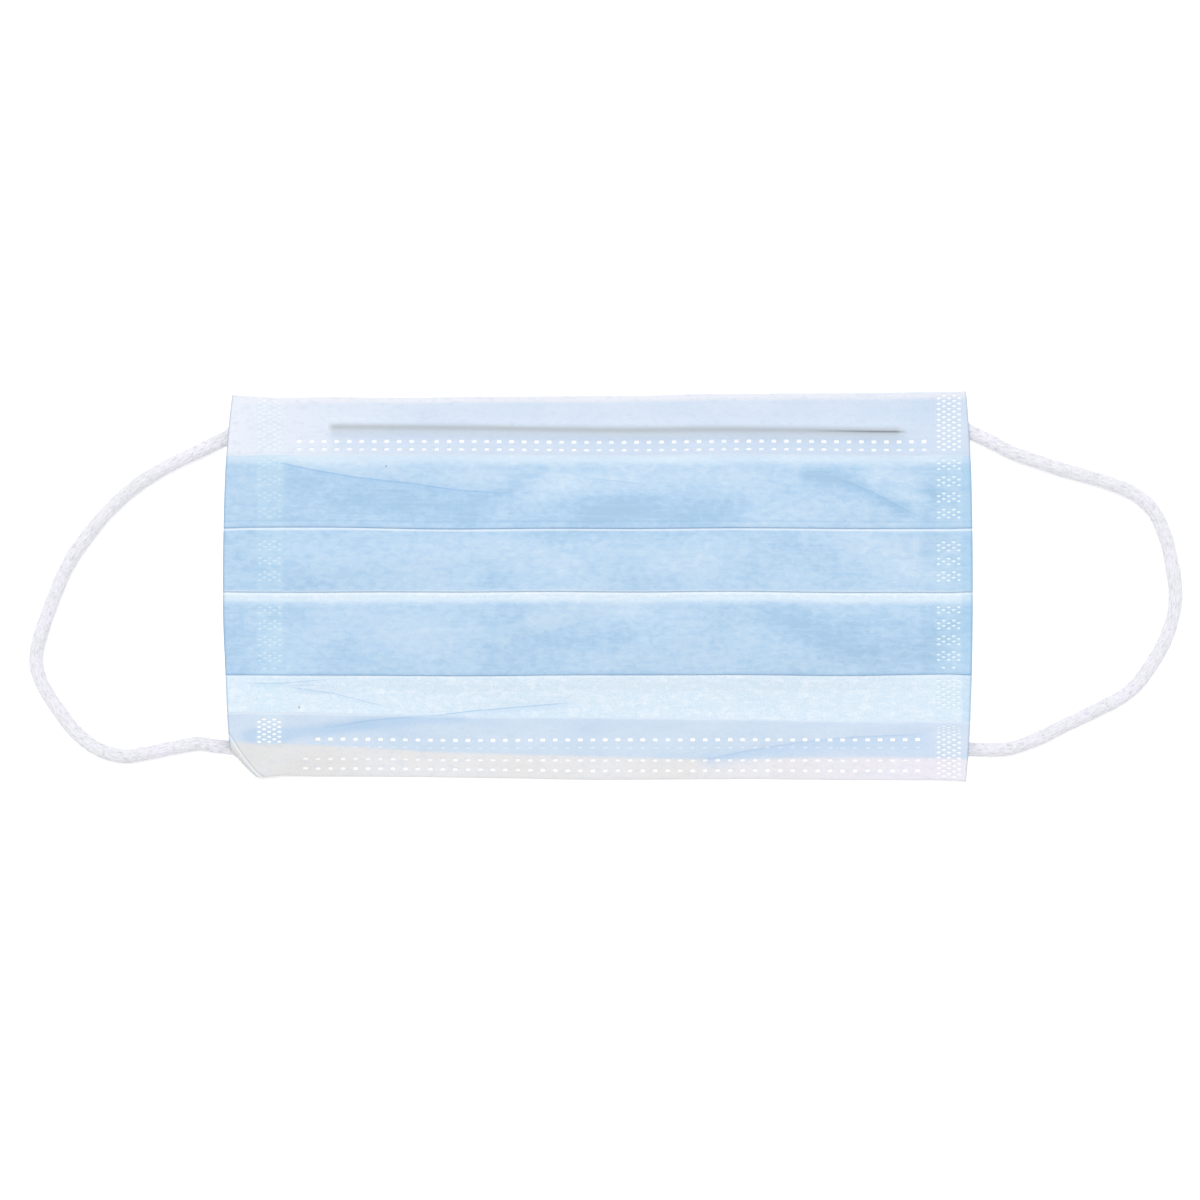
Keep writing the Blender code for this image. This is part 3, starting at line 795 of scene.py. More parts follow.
ply_end = BOTTOM + BLUE_PLY_SETBACK
panel_rows += rows_between(BOTTOM_HEM_EDGE + 1.0, BOTTOM_HEM_EDGE - 0.5, 0.5, 0.2, 1, 1, plies=1)
panel_rows += rows_between(BOTTOM_HEM_EDGE - 0.5, ply_end, 1.5, 1, 1, 1, plies=1)
panel_rows.append(new_row(ply_end, 1, 0.0, 1, plies=1))
# Painted highlight on the line just below each fold, where the cloth lies low and faces up
for row in panel_rows:
    for front, most in zip(FOLDS, LIT_BELOW):
        lit = most * ease((row["y"] - front + 0.85) / 0.3) * ease((front - 0.2 - row["y"]) / 0.15)
        if row["facing"] > 0 and row["level"] < 1.5:
            row["tint"] = lit or row.get("tint", 0.0)
print(f"{len(panel_rows)} rows down the folded panel")

# %% [markdown]
# ### Where the layers touch, and painted shade of swells and creases
#
# The blue ply is thin enough to see through a little. Where it lies hard on the layers below, more blue
# adds up and it looks deeper. Where it stands off them it looks paler. The same lines also paint the shade
# and light of the soft swells and creases: painted shade makes the cloth deeper, painted light paler. Each
# line below is the middle of such a place, with its reach in millimetres and how much deeper (+) or paler (-)
# the cloth looks there.

# %% Contact between the layers, and painted shade and light
CONTACT_AND_SHADE = (
    {"line": ((-68, 28.6), (-22, 25.6)), "reach": 3.4, "amount": -0.16},
    {"line": ((-22, 17.2), (-9, 23.8)), "reach": 6.0, "amount": -0.28},
    {"line": ((-4, 24.8), (36, 26.0)), "reach": 5.5, "amount": -0.18},
    {"line": ((66, 26.5), (76, 21.5)), "reach": 5.0, "amount": -0.28},
    {"line": ((46, 17.5), (62, 17.0)), "reach": 5.0, "amount": -0.12},
    {"line": ((60, 10.0), (78, 3.5)), "reach": 7.0, "amount": -0.28},
    {"line": ((-52, 7.5), (24, 5.5)), "reach": 6.0, "amount": -0.12},
    {"line": ((-15, -8.0), (9, -4.8)), "reach": 4.0, "amount": -0.22},
    {"line": ((-66, -10.0), (-30, -12.0)), "reach": 7.0, "amount": -0.12},
    {"line": ((0, -17.0), (34, -15.0)), "reach": 5.0, "amount": -0.10},
    {"line": ((-85, 27.0), (-85, 15.0)), "reach": 13.0, "amount": 0.02},
    {"line": ((-60, 20.5), (-30, 18.0)), "reach": 6.0, "amount": 0.16},
    {"line": ((-2, 17.0), (12, 19.5)), "reach": 6.0, "amount": 0.20},
    {"line": ((50, 26.4), (57, 24.8), (64, 22.0), (71, 18.4)), "reach": 3.0, "amount": 0.36},
    {"line": ((-70, 22.0), (-20, 17.5)), "reach": 8.0, "amount": 0.12},
    {"line": ((-20, 17.5), (30, 16.5)), "reach": 8.0, "amount": 0.18},
    {"line": ((67, 24.2), (79, 22.4)), "reach": 2.2, "amount": 0.26},
    {"line": ((-85, 11.0), (-85, 0.0)), "reach": 16.0, "amount": 0.06},
    {"line": ((-85, -5.0), (-85, -19.0)), "reach": 14.0, "amount": 0.06},
    {"line": ((42, -8.5), (77, -16.5)), "reach": 9.0, "amount": 0.17},
    {"line": ((-18, -12.0), (4, -13.5)), "reach": 4.0, "amount": 0.16},
    {"line": ((77.6, 25.0), (77.6, -18.0)), "reach": 4.0, "amount": 0.12},
    {
        "line": ((-83, -35.2), (-68, -34.3), (-56, -32.6), (-47, -31.4), (-32, -30.2)),
        "reach": 2.6, "amount": 0.62,
    },
    {"line": ((-81, -35.4), (-74, -35.6)), "reach": 2.6, "amount": 0.62},
    {"line": ((-62, -33.4), (-30, -32.0), (0, -32.6)), "reach": 4.5, "amount": 0.14},
    {"line": ((26, -40.8), (48, -37.9), (60, -36.9), (76, -36.2)), "reach": 3.0, "amount": 0.32},
)
CONTACT_USUAL = 0.70
# Below the hem and each fold, where one ply lies alone: from and to this far below it, and how deep it looks
UNBACKED = ((0.5, 2.9, 0.35), (0.0, 0.5, 0.8), (1.3, 3.5, 0.1), (0.0, 0.1, 1.0))


def contact_and_shade_at(x, y):
    """How deep the blue looks here: from how hard the three layers touch, and from painted shade and light.
    """
    total = CONTACT_USUAL
    for row in CONTACT_AND_SHADE:
        total += row["amount"] * ease(1 - distance_to_line(x, y, row["line"])[0] / row["reach"])
    return total


def panel_marks(x, y, row):
    """What the panel's material needs to know about a point of it."""
    crease, sharp = nearest_crease(x, y)
    contact_and_shade = contact_and_shade_at(x, y) * (row["plies"] - 1) / 2
    for front, (start, end, least) in zip((TOP_HEM_EDGE, *FOLDS), UNBACKED):
        if -0.6 < front - y < end:
            contact_and_shade *= least + (1 - least) * ease((front - y - start) / (end - start))
    return {"contact_and_shade": contact_and_shade, "crease": crease, "sharp": sharp}


# %% Panel
LOWEST_PANEL = 0.22  # the middle of the lowest layer over the hem's back flap
TIGHT_STEP = 0.24  # from layer to layer in the seals
LOOSE_STEP = 0.08  # and this much more between them
HEM_STEP = 0.2


def panel_height(x, y):
    """The lowest layer's level and the step to the next one: tight in the seals, looser between them."""
    loose = ease(min(x - LEFT_SEAL[1], RIGHT_SEAL[0] - x) / 25)
    hem = ease((abs(y) - 29.5) / 1.5)
    gap = TIGHT_STEP + LOOSE_STEP * loose
    return LOWEST_PANEL, gap * (1 - hem) + HEM_STEP * hem


def seal_dot(x, y):
    """A lens-shaped dot of the side seals. The left seal is pressed lightly, except low down."""
    if x > 0:
        strength = 0.8 if abs(y) > 30.5 else 1.0
    else:
        strength = 0.32 + 0.65 * ease((-28.5 - y) / 2) + 0.12 * ease((14 - y) / 4) * ease((y + 21) / 2)
    depth = 0.01 + 0.12 * strength
    return {"width": 1.12, "height": 0.6, "shoulder": 0.24, "depth": depth, "strength": strength}


# On the pleats four rows of dots are pressed and two are left out
panel_dots = {}
dot_ends = [front + lines[0][0] for front, lines in zip(FOLDS, FOLD_LINES)] + [BOTTOM_HEM_EDGE + 0.9]
for row, end in zip(dot_starts, dot_ends):
    while panel_rows[row + 2]["y"] > end - 0.1:
        y = panel_rows[row]["y"]
        from_top = round((TOP - y) / DOT_ROW)
        for column, number in seal_columns:
            grouped = (from_top - 1) % 6 < 4 or y < FOLDS[2]
            wanted = grouped and (columns[column] > 0 or y > FOLDS[2])
            if wanted and (from_top + number) % 2 == 0 and (column, row - 1) not in panel_dots:
                panel_dots[column, row] = seal_dot(columns[column], y)
        row += 1
panel, panel_length = sheet_mesh("pleated_panel_cloth", panel_rows, panel_height, panel_marks, panel_dots)
thicken(panel, CLOTH, back_material=1)
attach(panel, "root")
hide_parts("pleated_panel")
print(f"panel: {len(panel.data.polygons)} faces, {len(panel_dots)} dots, unfolded {panel_length:.0f} mm")

# %% [markdown]
# ## Hems
#
# The white inner ply is longer than the blue one. At the nose and chin edges it is turned over to the
# front and fixed by rows of weld dots. Each hem is one thin sheet that goes round the edge, with a ridge
# where the nose wire lies inside. The blue ply ends inside the lower hem, along a slanting line, and the
# hem's front sinks a little beyond it.

# %% Rows of a hem
WIRE_LENGTH = 134.0
WIRE_WIDTH = 3.0
WIRE_THICKNESS = 0.4
WIRE_SHIFT = 4.2
WIRE_MIDDLE = 36.9
WIRE_SLOPE = -0.009
PLY_END = (
    (-90, -36.4), (-80, -36.9), (-60, -38.0), (-42, -38.9), (5, -40.3), (24, -40.8), (60, -40.2),
    (90, -40.6),
)
# The front flap's edge sinks into the panel: how far in each row is, its level and how much painted highlight
# it gets
FLAP_ROWS = ((0.0, 1.15, 0.8), (0.35, 1.55, 0.4), (0.7, 1.85, 0.0))
FLAT_FROM = 1.05
TURN_RADIUS = 0.45
SLANT_REACH = 6.0


def wire_y(x):
    return WIRE_MIDDLE + WIRE_SLOPE * (x - WIRE_SHIFT)


def hem_rows(edge, flap_edge, slant):
    """Rows of a hem, from its front flap's edge round the mask's edge to its back flap's edge."""
    way = 1 if edge > flap_edge else -1
    turn = edge - way * TURN_RADIUS
    rows = [
        new_row(flap_edge + way * back, level, 0.0, 1, tint=tint) for back, level, tint in FLAP_ROWS
    ]
    rows += rows_between(flap_edge + way * FLAT_FROM, turn, DOT_ROW, 2, 2, 1)
    for row in rows:
        row["slant"] = slant * ease(1 - abs(row["y"] - flap_edge) / SLANT_REACH)
    for step in range(TURN_STEPS + 1):
        angle = math.pi * step / TURN_STEPS
        facing = 1 if step < TURN_STEPS / 2 else -1
        rows.append(new_row(turn, 1 + math.cos(angle), 2 * way * math.sin(angle), facing))
    rows += rows_between(turn - way * 1.0, flap_edge, 1.5, 0, 0, -1)
    rows.append(new_row(flap_edge, 0, 0.0, -1))
    return rows


def hem_height(x, y):
    """The hem's back flap lies on the table and its front flap on the panel, over the wire."""
    along = ease((WIRE_LENGTH / 2 + 1.5 - abs(x - WIRE_SHIFT)) / 1.5)
    across = ease((WIRE_WIDTH / 2 + 1.3 - abs(y - wire_y(x))) / 1.3)
    beyond = ease((on_line(PLY_END, x) - y) / 0.6)
    return 0.13, 0.26 + 0.5 * WIRE_THICKNESS * along * across - 0.03 * beyond


def hem_marks(x, y, row):
    """What the hems' material needs to know about a point; 99 and -99 stand for far away."""
    crease, sharp = nearest_crease(x, y)
    front = 1.0 if row["facing"] > 0 else 0.0
    return {
        "lower": 1.0 if y < 0 else 0.0,
        "past_turn": past_turn(x, y) if x < -60 and y < -30 else -99.0,
        "inside_ply": y - on_line(PLY_END, x) if y < 0 else (TOP - 1.7 - y) * 0.7,
        "contact_and_shade": (contact_and_shade_at(x, y) - CONTACT_USUAL) * front,
        "from_wire": y - wire_y(x) if y > 0 else 99.0,
        "on_wire": front * ease((WIRE_LENGTH / 2 + 0.6 - abs(x - WIRE_SHIFT)) / 1.2),
        "crease": crease,
        "sharp": sharp * front,
    }


# Each row of dots: its place, how strongly it is pressed, how tall its dots are and its first column
HEM_ROW_DOTS = {
    "top_hem": ((34.3, 1.0, 0.84, 2), (31.9, 0.85, 0.66, 2)),
    "bottom_hem": (
        (-36.1, 1.0, 0.84, 5), (-38.0, 0.35, 0.66, 9), (-41.0, 0.75, 0.7, 3), (-43.5, 0.9, 0.78, 3),
    ),
}


def hem_dots(name, rows):
    """Dots of the side seals and of the hem's own rows, by column and row."""
    found = {}
    dice = random.Random(len(name))
    front = [i for i, row in enumerate(rows) if row["facing"] > 0 and row["level"] == 2]
    for row in front[:-2]:
        for column, number in seal_columns:
            if (row + number) % 2 == 0 and (columns[column] > 0 or rows[row]["y"] > -36.6):
                found[column, row] = seal_dot(columns[column], rows[row]["y"])
    for line, strength, height, first in HEM_ROW_DOTS[name]:
        row = min(front[1:-3], key=lambda i: abs(rows[i]["y"] - line)) - 1
        for column in range(middle_start + first, right_seal_start - 2, 2):
            pressed = strength * dice.uniform(0.7, 1.0)
            found[column, row] = {
                "width": 1.3, "height": height, "shoulder": 0.4,
                "depth": 0.04 + 0.10 * pressed, "strength": pressed,
            }
    return found


hems = []
for name, edge, flap_edge, slant in (
    ("top_hem", TOP, TOP_HEM_EDGE, 0.0),
    ("bottom_hem", BOTTOM, BOTTOM_HEM_EDGE + 0.75, -2.35),
):
    rows = hem_rows(edge, flap_edge, slant)
    piece, length = sheet_mesh(f"{name}_cloth", rows, hem_height, hem_marks, hem_dots(name, rows))
    thicken(piece, HEM_PLY)
    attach(piece, "root")
    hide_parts(name)
    hems.append(piece)
    print(f"{name}: {len(piece.data.polygons)} faces, unfolded {length:.0f} mm")

# %% [markdown]
# ## Nose wire
#
# A flat strip of soft steel in a pale plastic coat, 3 mm wide, lies loose in the top hem. It is a bar with
# rounded edges that follows the cloth under it, built from the same function as the cloth, so that it
# stays inside the hem.

# %% Wire inside the top hem
WIRE_SIDES = 16
WIRE_ROUNDING = 0.6
WIRE_LEVEL = 0.75  # the middle of the wire above the hem's back flap, with the cloth that lies between
wire_stations = spread(WIRE_SHIFT - WIRE_LENGTH / 2, WIRE_SHIFT + WIRE_LENGTH / 2, 2.0)
wire_stations.append(WIRE_SHIFT + WIRE_LENGTH / 2)
wire_section = [rounded(2 * math.pi * number / WIRE_SIDES, WIRE_ROUNDING) for number in range(WIRE_SIDES)]
wire_points = [
    lie(x, wire_y(x) + across * WIRE_WIDTH / 2, WIRE_LEVEL + up * WIRE_THICKNESS / 2)
    for x in wire_stations
    for across, up in wire_section
]
wire = new_piece("coated_nose_wire", wire_points, tube_faces(len(wire_stations), WIRE_SIDES))
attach(wire, "root")
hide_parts("nose_wire")
print(f"wire: {len(wire.data.polygons)} faces")

# %% [markdown]
# ## Colours and nodes
#
# Colours are written as sRGB hex values, as a colour picker shows them, and one function turns them to the
# linear values that the shader works with. Another function adds any node with its settings and inputs: an
# input that is given a node is linked to that node's first output in use, and any other value is set. All
# finishes of the mask are then painted in the same kind of step: a shade is mixed into the colour where
# some value (a distance, a pattern, a mark of the mesh) lies in a range.

# %% Colour and node helpers
def linear(text):
    channels = [int(text[i:i + 2], 16) / 255 for i in (0, 2, 4)]
    return (*[c / 12.92 if c <= 0.04045 else ((c + 0.055) / 1.055) ** 2.4 for c in channels], 1.0)


def add_node(material, kind, inputs=None, **settings):
    """Adds a node; kind is its type without the word ShaderNode, such as Mix or MapRange."""
    made = material.node_tree.nodes.new("ShaderNode" + kind)
    for name, value in settings.items():
        setattr(made, name, value)
    for name, value in (inputs or {}).items():
        if isinstance(value, bpy.types.Node):
            value = next(output for output in value.outputs if output.enabled)
        if isinstance(value, bpy.types.NodeSocket):
            material.node_tree.links.new(value, made.inputs[name])
        else:
            made.inputs[name].default_value = value
    return made


def paint_where(material, colour, value, ends, amounts, shade, masks=(), smooth=False):
    """Mixes in a shade, by the first amount at the value's first end and the second at its second end."""
    share = add_node(
        material, "MapRange", {0: value, 1: ends[0], 2: ends[1], 3: amounts[0], 4: amounts[1]},
        interpolation_type="SMOOTHSTEP" if smooth else "LINEAR",
    )
    for mask in masks:
        share = add_node(material, "Math", {0: share, 1: mask}, operation="MULTIPLY")
    return add_node(material, "Mix", {0: share, 6: colour, 7: linear(shade)}, data_type="RGBA")


def empty_material(name):
    material = bpy.data.materials.new(name)
    material.use_nodes = True
    material.node_tree.nodes.clear()
    return material


print("a sky blue in linear values:", [round(c, 3) for c in linear("ABC8E2")])

# %% [markdown]
# ## Spunbond cloth
#
# Spunbond polypropylene is a mat of endless fibres, about 0.02 mm thick, blown at random on a belt and
# bonded by heat. From half a metre away it shows soft clouds where more fibres lie, a finer mottling,
# single curled fibres that catch the light, and faint streaks along the web. Real fibres are too fine to
# show, so they are drawn about 0.2 mm wide. The pattern runs in millimetres of the flat cloth, from the UV
# map, so it bends with the folds. In the nodes below, a Map Range node has its value as input 0, its own
# range as 1 and 2, and what that range becomes as 3 and 4. A Mix node of colours has its factor as 0 and
# its colours as 6 and 7.

# %% Pattern of the spunbond cloth
CLOUD_SIZE = 9.0  # mm
MOTTLE_SIZE = 1.3
GRAIN_SIZE = 0.42
STREAK_SIZE = 2 / 3  # across a streak, which is about 20 times as long
CURLS = ((0.55, 0.0), (0.8, 40.0), (0.66, 90.0))  # how tightly three sets of fibres curl, and their shift
# Each pattern: how its place is stretched, its size, and the settings of its noise
CLOTH_NOISES = {
    "clouds": ((0.55, 1, 1), CLOUD_SIZE, {"Detail": 2.0, "Roughness": 0.5}),
    "mottle": ((0.55, 1, 1), MOTTLE_SIZE, {"Detail": 3.0, "Roughness": 0.6, "Distortion": 0.5}),
    "grain": ((1, 1, 1), GRAIN_SIZE, {"Detail": 3.0, "Roughness": 0.7}),
    "streaks": ((0.045, 1, 1), STREAK_SIZE, {"Detail": 2.0, "Roughness": 0.5}),
}


def spunbond_pattern(material):
    """Nodes for the patterns of the flat cloth, each from 0 to 1, and the place on it in millimetres."""
    flat = add_node(material, "UVMap", uv_map="flat_cloth")
    place = add_node(material, "VectorMath", {0: flat, 1: (1000, 1000, 1000)}, operation="MULTIPLY")
    made = {"place": place}
    for name, (stretch, size, settings) in CLOTH_NOISES.items():
        stretched = add_node(material, "VectorMath", {0: place, 1: stretch}, operation="MULTIPLY")
        made[name] = add_node(material, "TexNoise", {"Vector": stretched, "Scale": 1 / size, **settings})
    fibres = None
    for scale, shift in CURLS:
        moved = add_node(material, "VectorMath", {0: place, 1: (shift, shift / 2, 0)}, operation="ADD")
        curls = add_node(material, "TexNoise", {
            "Vector": moved, "Scale": scale, "Detail": 2.0, "Roughness": 0.45, "Distortion": 1.6,
        })
        # A fibre runs where the noise crosses its middle value
        middle = add_node(material, "Math", {0: curls, 1: 0.5}, operation="SUBTRACT")
        apart = add_node(material, "Math", {0: middle}, operation="ABSOLUTE")
        line = add_node(
            material, "MapRange", {0: apart, 1: 0.0, 2: 0.026, 3: 1.0, 4: 0.0},
            interpolation_type="SMOOTHSTEP",
        )
        if fibres:
            line = add_node(material, "Math", {0: fibres, 1: line}, operation="MAXIMUM")
        fibres = line
    made["fibres"] = fibres
    return made


# %% Painted crease shade and seal strips in the cloth's colour
# Painted shade below each crease, then painted light above it: where each rises from and to full, where it
# falls from and to none, and how strong it is
CREASE_SHADE_BANDS = ((-3.2, -0.2, 0.0, 0.1, 0.24), (0.1, 0.5, 0.6, 2.6, 0.18))


def crease_shade(material, colour, dark, light):
    """Painted shade and light of each crease: a thin dark line in it, a soft painted shade below it and a
    painted highlight on the edge above it.
    """
    above, sharp = (
        add_node(material, "Attribute", attribute_name=name).outputs["Fac"] for name in ("crease", "sharp")
    )
    for (start, full, last, end, amount), shade in zip(CREASE_SHADE_BANDS, (dark, light)):
        rise = add_node(material, "MapRange", {0: above, 1: start, 2: full}, interpolation_type="SMOOTHSTEP")
        colour = paint_where(
            material, colour, above, (last, end), (amount, 0.0), shade, (rise, sharp), smooth=True,
        )
    apart = add_node(material, "Math", {0: above}, operation="ABSOLUTE")
    return paint_where(material, colour, apart, (0.05, 0.24), (0.75, 0.0), dark, (sharp,), smooth=True)


def seal_strips(material, colour, across, amounts, shade, masks=()):
    """The left and the right seal are a little paler all over, because their layers are pressed together."""
    for (start, end), amount in zip((LEFT_SEAL, RIGHT_SEAL), amounts):
        inside = add_node(material, "MapRange", {0: across, 1: start - 0.4, 2: start})
        colour = paint_where(
            material, colour, across, (end, end + 0.4), (amount, 0.0), shade, (inside, *masks),
        )
    return colour


# %% Shader of the cloth
POLYPROPYLENE_IOR = 1.49
CLOTH_ROUGHNESS = 0.82
MELTED_ROUGHNESS = 0.5


def finish_cloth(material, colour, roughness, pattern):
    """Matte polypropylene whose fibres give a faint sheen and stand up by a twentieth of a millimetre."""
    raised = add_node(material, "Math", {0: pattern["fibres"], 1: 0.6}, operation="MULTIPLY")
    for name in ("grain", "mottle"):
        raised = add_node(material, "Math", {0: raised, 1: pattern[name]}, operation="ADD")
    bump = add_node(material, "Bump", {"Height": raised, "Strength": 0.4, "Distance": 0.00006})
    shader = add_node(material, "BsdfPrincipled", {
        "Base Color": colour, "Roughness": roughness, "IOR": POLYPROPYLENE_IOR, "Sheen Weight": 0.08,
        "Normal": bump,
    })
    add_node(material, "OutputMaterial", {"Surface": shader})
    print(f"{material.name}: {len(material.node_tree.nodes)} nodes")


# %% [markdown]
# ## Blue outer ply
#
# The outer ply is polypropylene, dyed light blue in the melt, so that even a single fibre is blue. It is
# thin: over three layers it looks deeper than over one. It is matte, with a faint sheen from its fibres.
# The weld dots are melted to a clear film over the white plies, so they are paler and a little smoother.

# %% Blue spunbond polypropylene
blue = empty_material("blue_spunbond_polypropylene")
pattern = spunbond_pattern(blue)
contact_and_shade, tint, pressed = (
    add_node(blue, "Attribute", attribute_name=name).outputs["Fac"] for name in ("contact_and_shade", "tint", "pressed")
)
depth = contact_and_shade
for name, amount in (("clouds", 0.12), ("mottle", 0.17), ("grain", 0.08)):
    uneven = add_node(blue, "MapRange", {0: pattern[name], 1: 0.3, 2: 0.7, 3: -amount, 4: amount})
    depth = add_node(blue, "Math", {0: depth, 1: uneven}, operation="ADD")
colour = add_node(blue, "Mix", {0: depth, 6: linear("D6E4EF"), 7: linear("9CC0E0")}, data_type="RGBA")
colour = paint_where(blue, colour, depth, (0.75, 1.25), (0.0, 0.55), "A2BACB")
print("blue cloth so far:", len(blue.node_tree.nodes), "nodes")

# %% Single layer: clouds and fibres show
single = add_node(blue, "MapRange", {0: contact_and_shade, 1: 0.0, 2: 0.4, 3: 1.0, 4: 0.0})
colour = paint_where(blue, colour, pattern["mottle"], (0.48, 0.62), (0.0, 0.8), "E4ECF3", (single,))
colour = paint_where(blue, colour, single, (0.0, 1.0), (0.12, 0.5), "B6D0E6", (pattern["fibres"],))
colour = paint_where(blue, colour, pattern["streaks"], (0.5, 0.75), (0.0, 0.3), "C2D7EA")

# %% Seal strips, darker cut edges and painted crease shade of the blue ply
across = add_node(blue, "SeparateXYZ", {0: pattern["place"]}).outputs["X"]
colour = seal_strips(blue, colour, across, (0.14, 0.05), "BFE0EA")
apart = add_node(blue, "Math", {0: across}, operation="ABSOLUTE")
colour = paint_where(blue, colour, apart, (HALF - 0.45, HALF - 0.1), (0.0, 0.6), "86B3D6")
right_margin = (RIGHT_SEAL[1], RIGHT_SEAL[1] + 0.4)
colour = paint_where(blue, colour, across, right_margin, (0.0, 0.3), "98C8E6")
colour = crease_shade(blue, colour, "86B2DA", "CBDFEF")

# %% Two dark specks, melted drops of polymer 0.4 mm wide
SPECKS = ((-49.7, 28.2), (-70.1, -28.4))
over = add_node(blue, "TexCoord").outputs["Object"]
flat = add_node(blue, "VectorMath", {0: over, 1: (1000, 1000, 0)}, operation="MULTIPLY")
for x, y in SPECKS:
    apart = add_node(blue, "VectorMath", {0: flat, 1: (x, y, 0)}, operation="DISTANCE").outputs["Value"]
    colour = paint_where(blue, colour, apart, (0.1, 0.26), (0.75, 0.0), "3F6482")

# %% Painted highlight and shade at the folds, and weld dots of the blue ply
# Painted highlight below the folds, painted shade on the folds' turns and in their grooves
colour = paint_where(blue, colour, tint, (0.0, 1.0), (0.0, 1.0), "F8FBFC")
colour = paint_where(blue, colour, tint, (-1.0, 0.0), (1.0, 0.0), "7DADD4")
colour = paint_where(blue, colour, pressed, (0.1, 1.0), (0.0, 0.95), "E6F4F9")
smooth = add_node(blue, "MapRange", {0: pressed, 1: 0.1, 2: 1.0, 3: CLOTH_ROUGHNESS, 4: MELTED_ROUGHNESS})
finish_cloth(blue, colour, smooth, pattern)
panel.data.materials.append(blue)

# %% [markdown]
# ## White inner ply
#
# The inner ply is the same cloth without dye. It is the panel's back, and it is turned over both edges as
# the hems. The blue ply shows through it where that lies under the hem, and beyond the end of the blue ply
# the hem is bare, warm white. At the nose edge the wire lies below it as a grey shade, with a thin dark
# line where the cloth stands off the wire's edge.

# %% White spunbond polypropylene, hems
white = empty_material("white_spunbond_polypropylene")
pattern = spunbond_pattern(white)
across = add_node(white, "SeparateXYZ", {0: pattern["place"]}).outputs["X"]
lower, inside_ply, contact_and_shade, from_wire, on_wire, turned, tint, pressed = (
    add_node(white, "Attribute", attribute_name=name).outputs["Fac"]
    for name in ("lower", "inside_ply", "contact_and_shade", "from_wire", "on_wire", "past_turn", "tint", "pressed")
)
leftmost = add_node(white, "MapRange", {0: across, 1: -88, 2: -40})
rightmost = add_node(white, "MapRange", {0: across, 1: 20, 2: 88})
# The hem's colours at the left, in the middle and at the right: over the blue ply at the nose and the chin,
# at the folded nose edge and where the chin's hem is bare
zones = {}
for zone, left, middle, right in (
    ("nose", "E2E6F0", "CBD8E9", "C4D4E8"), ("fold", "E5E6ED", "E2E4EC", "DDE1EB"),
    ("chin", "C3D3E5", "C1D3E5", "C5D5E9"), ("bare", "D7D5D2", "DEDCDC", "E6E1EB"),
):
    toned = {0: leftmost, 6: linear(left), 7: linear(middle)}
    toned = {0: rightmost, 6: add_node(white, "Mix", toned, data_type="RGBA"), 7: linear(right)}
    zones[zone] = add_node(white, "Mix", toned, data_type="RGBA")
print("white cloth:", ", ".join(zones))

# %% Zones of the hems
backed = add_node(white, "Mix", {0: lower, 6: zones["nose"], 7: zones["chin"]}, data_type="RGBA")
alone = add_node(white, "Mix", {0: lower, 6: zones["fold"], 7: zones["bare"]}, data_type="RGBA")
within = add_node(
    white, "MapRange", {0: inside_ply, 1: -0.45, 2: 0.45}, interpolation_type="SMOOTHSTEP",
)
colour = add_node(white, "Mix", {0: within, 6: alone, 7: backed}, data_type="RGBA")
# Deeper blue where the layers under the hem touch, and painted shade along the creases there
colour = paint_where(white, colour, contact_and_shade, (0.0, 0.6), (0.0, 0.8), "A3C2E0")
for name, low, high, amount, shade in (
    ("clouds", 0.35, 0.65, 0.25, "E1E7F0"), ("mottle", 0.5, 0.7, 0.30, "B9C9DC"),
    ("fibres", 0.0, 1.0, 0.12, "B7C8DB"), ("grain", 0.5, 0.8, 0.30, "EEF1F5"),
):
    colour = paint_where(white, colour, pattern[name], (low, high), (0.0, amount), shade)

# %% Shade of the nose wire
# From wide to narrow: a blue-grey band, a grey haze, a soft line and, at the right, a clear dark line
over = add_node(white, "MapRange", {0: from_wire, 1: -2.0, 2: 0.0, 3: 1.0, 4: 0.0})
colour = paint_where(white, colour, from_wire, (-6.6, -2.0), (0.15, 0.45), "BCCFE4", (on_wire, over))
above = add_node(
    white, "MapRange", {0: from_wire, 1: 0.2, 2: 1.6, 3: 1.0, 4: 0.0}, interpolation_type="SMOOTHSTEP",
)
colour = paint_where(
    white, colour, from_wire, (-2.5, 0.0), (0.0, 0.52), "A9B1B6", (above, on_wire), smooth=True,
)
apart = add_node(white, "Math", {0: from_wire}, operation="ABSOLUTE")
colour = paint_where(white, colour, apart, (0.0, 0.9), (0.26, 0.0), "8F9190", (on_wire,), smooth=True)
clear = add_node(white, "MapRange", {0: across, 1: 48, 2: 64, 3: 0.0, 4: 0.8})
colour = paint_where(
    white, colour, apart, (0.05, 0.34), (1.0, 0.0), "757A80", (on_wire, clear), smooth=True,
)

# %% Strips, edges, painted crease shade, painted light and shade at the turned corner, painted highlight at the flap's edge, and weld dots of the hems
colour = seal_strips(white, colour, across, (0.18, 0.08), "CFE4EE", (within,))
apart = add_node(white, "Math", {0: across}, operation="ABSOLUTE")
colour = paint_where(white, colour, apart, (HALF - 0.45, HALF - 0.1), (0.0, 0.5), "9DB4C8")
colour = crease_shade(white, colour, "94B7D9", "D9E3EE")
# A painted highlight and a painted shade line along the rounded edge of the corner that is turned under
for middle, amount, shade in ((0.3, 0.5, "F4F6F8"), (-0.15, 0.3, "8FA6BC")):
    apart = add_node(white, "Math", {0: turned, 1: middle}, operation="SUBTRACT")
    apart = add_node(white, "Math", {0: apart}, operation="ABSOLUTE")
    colour = paint_where(white, colour, apart, (0.1, 0.3), (amount, 0.0), shade)
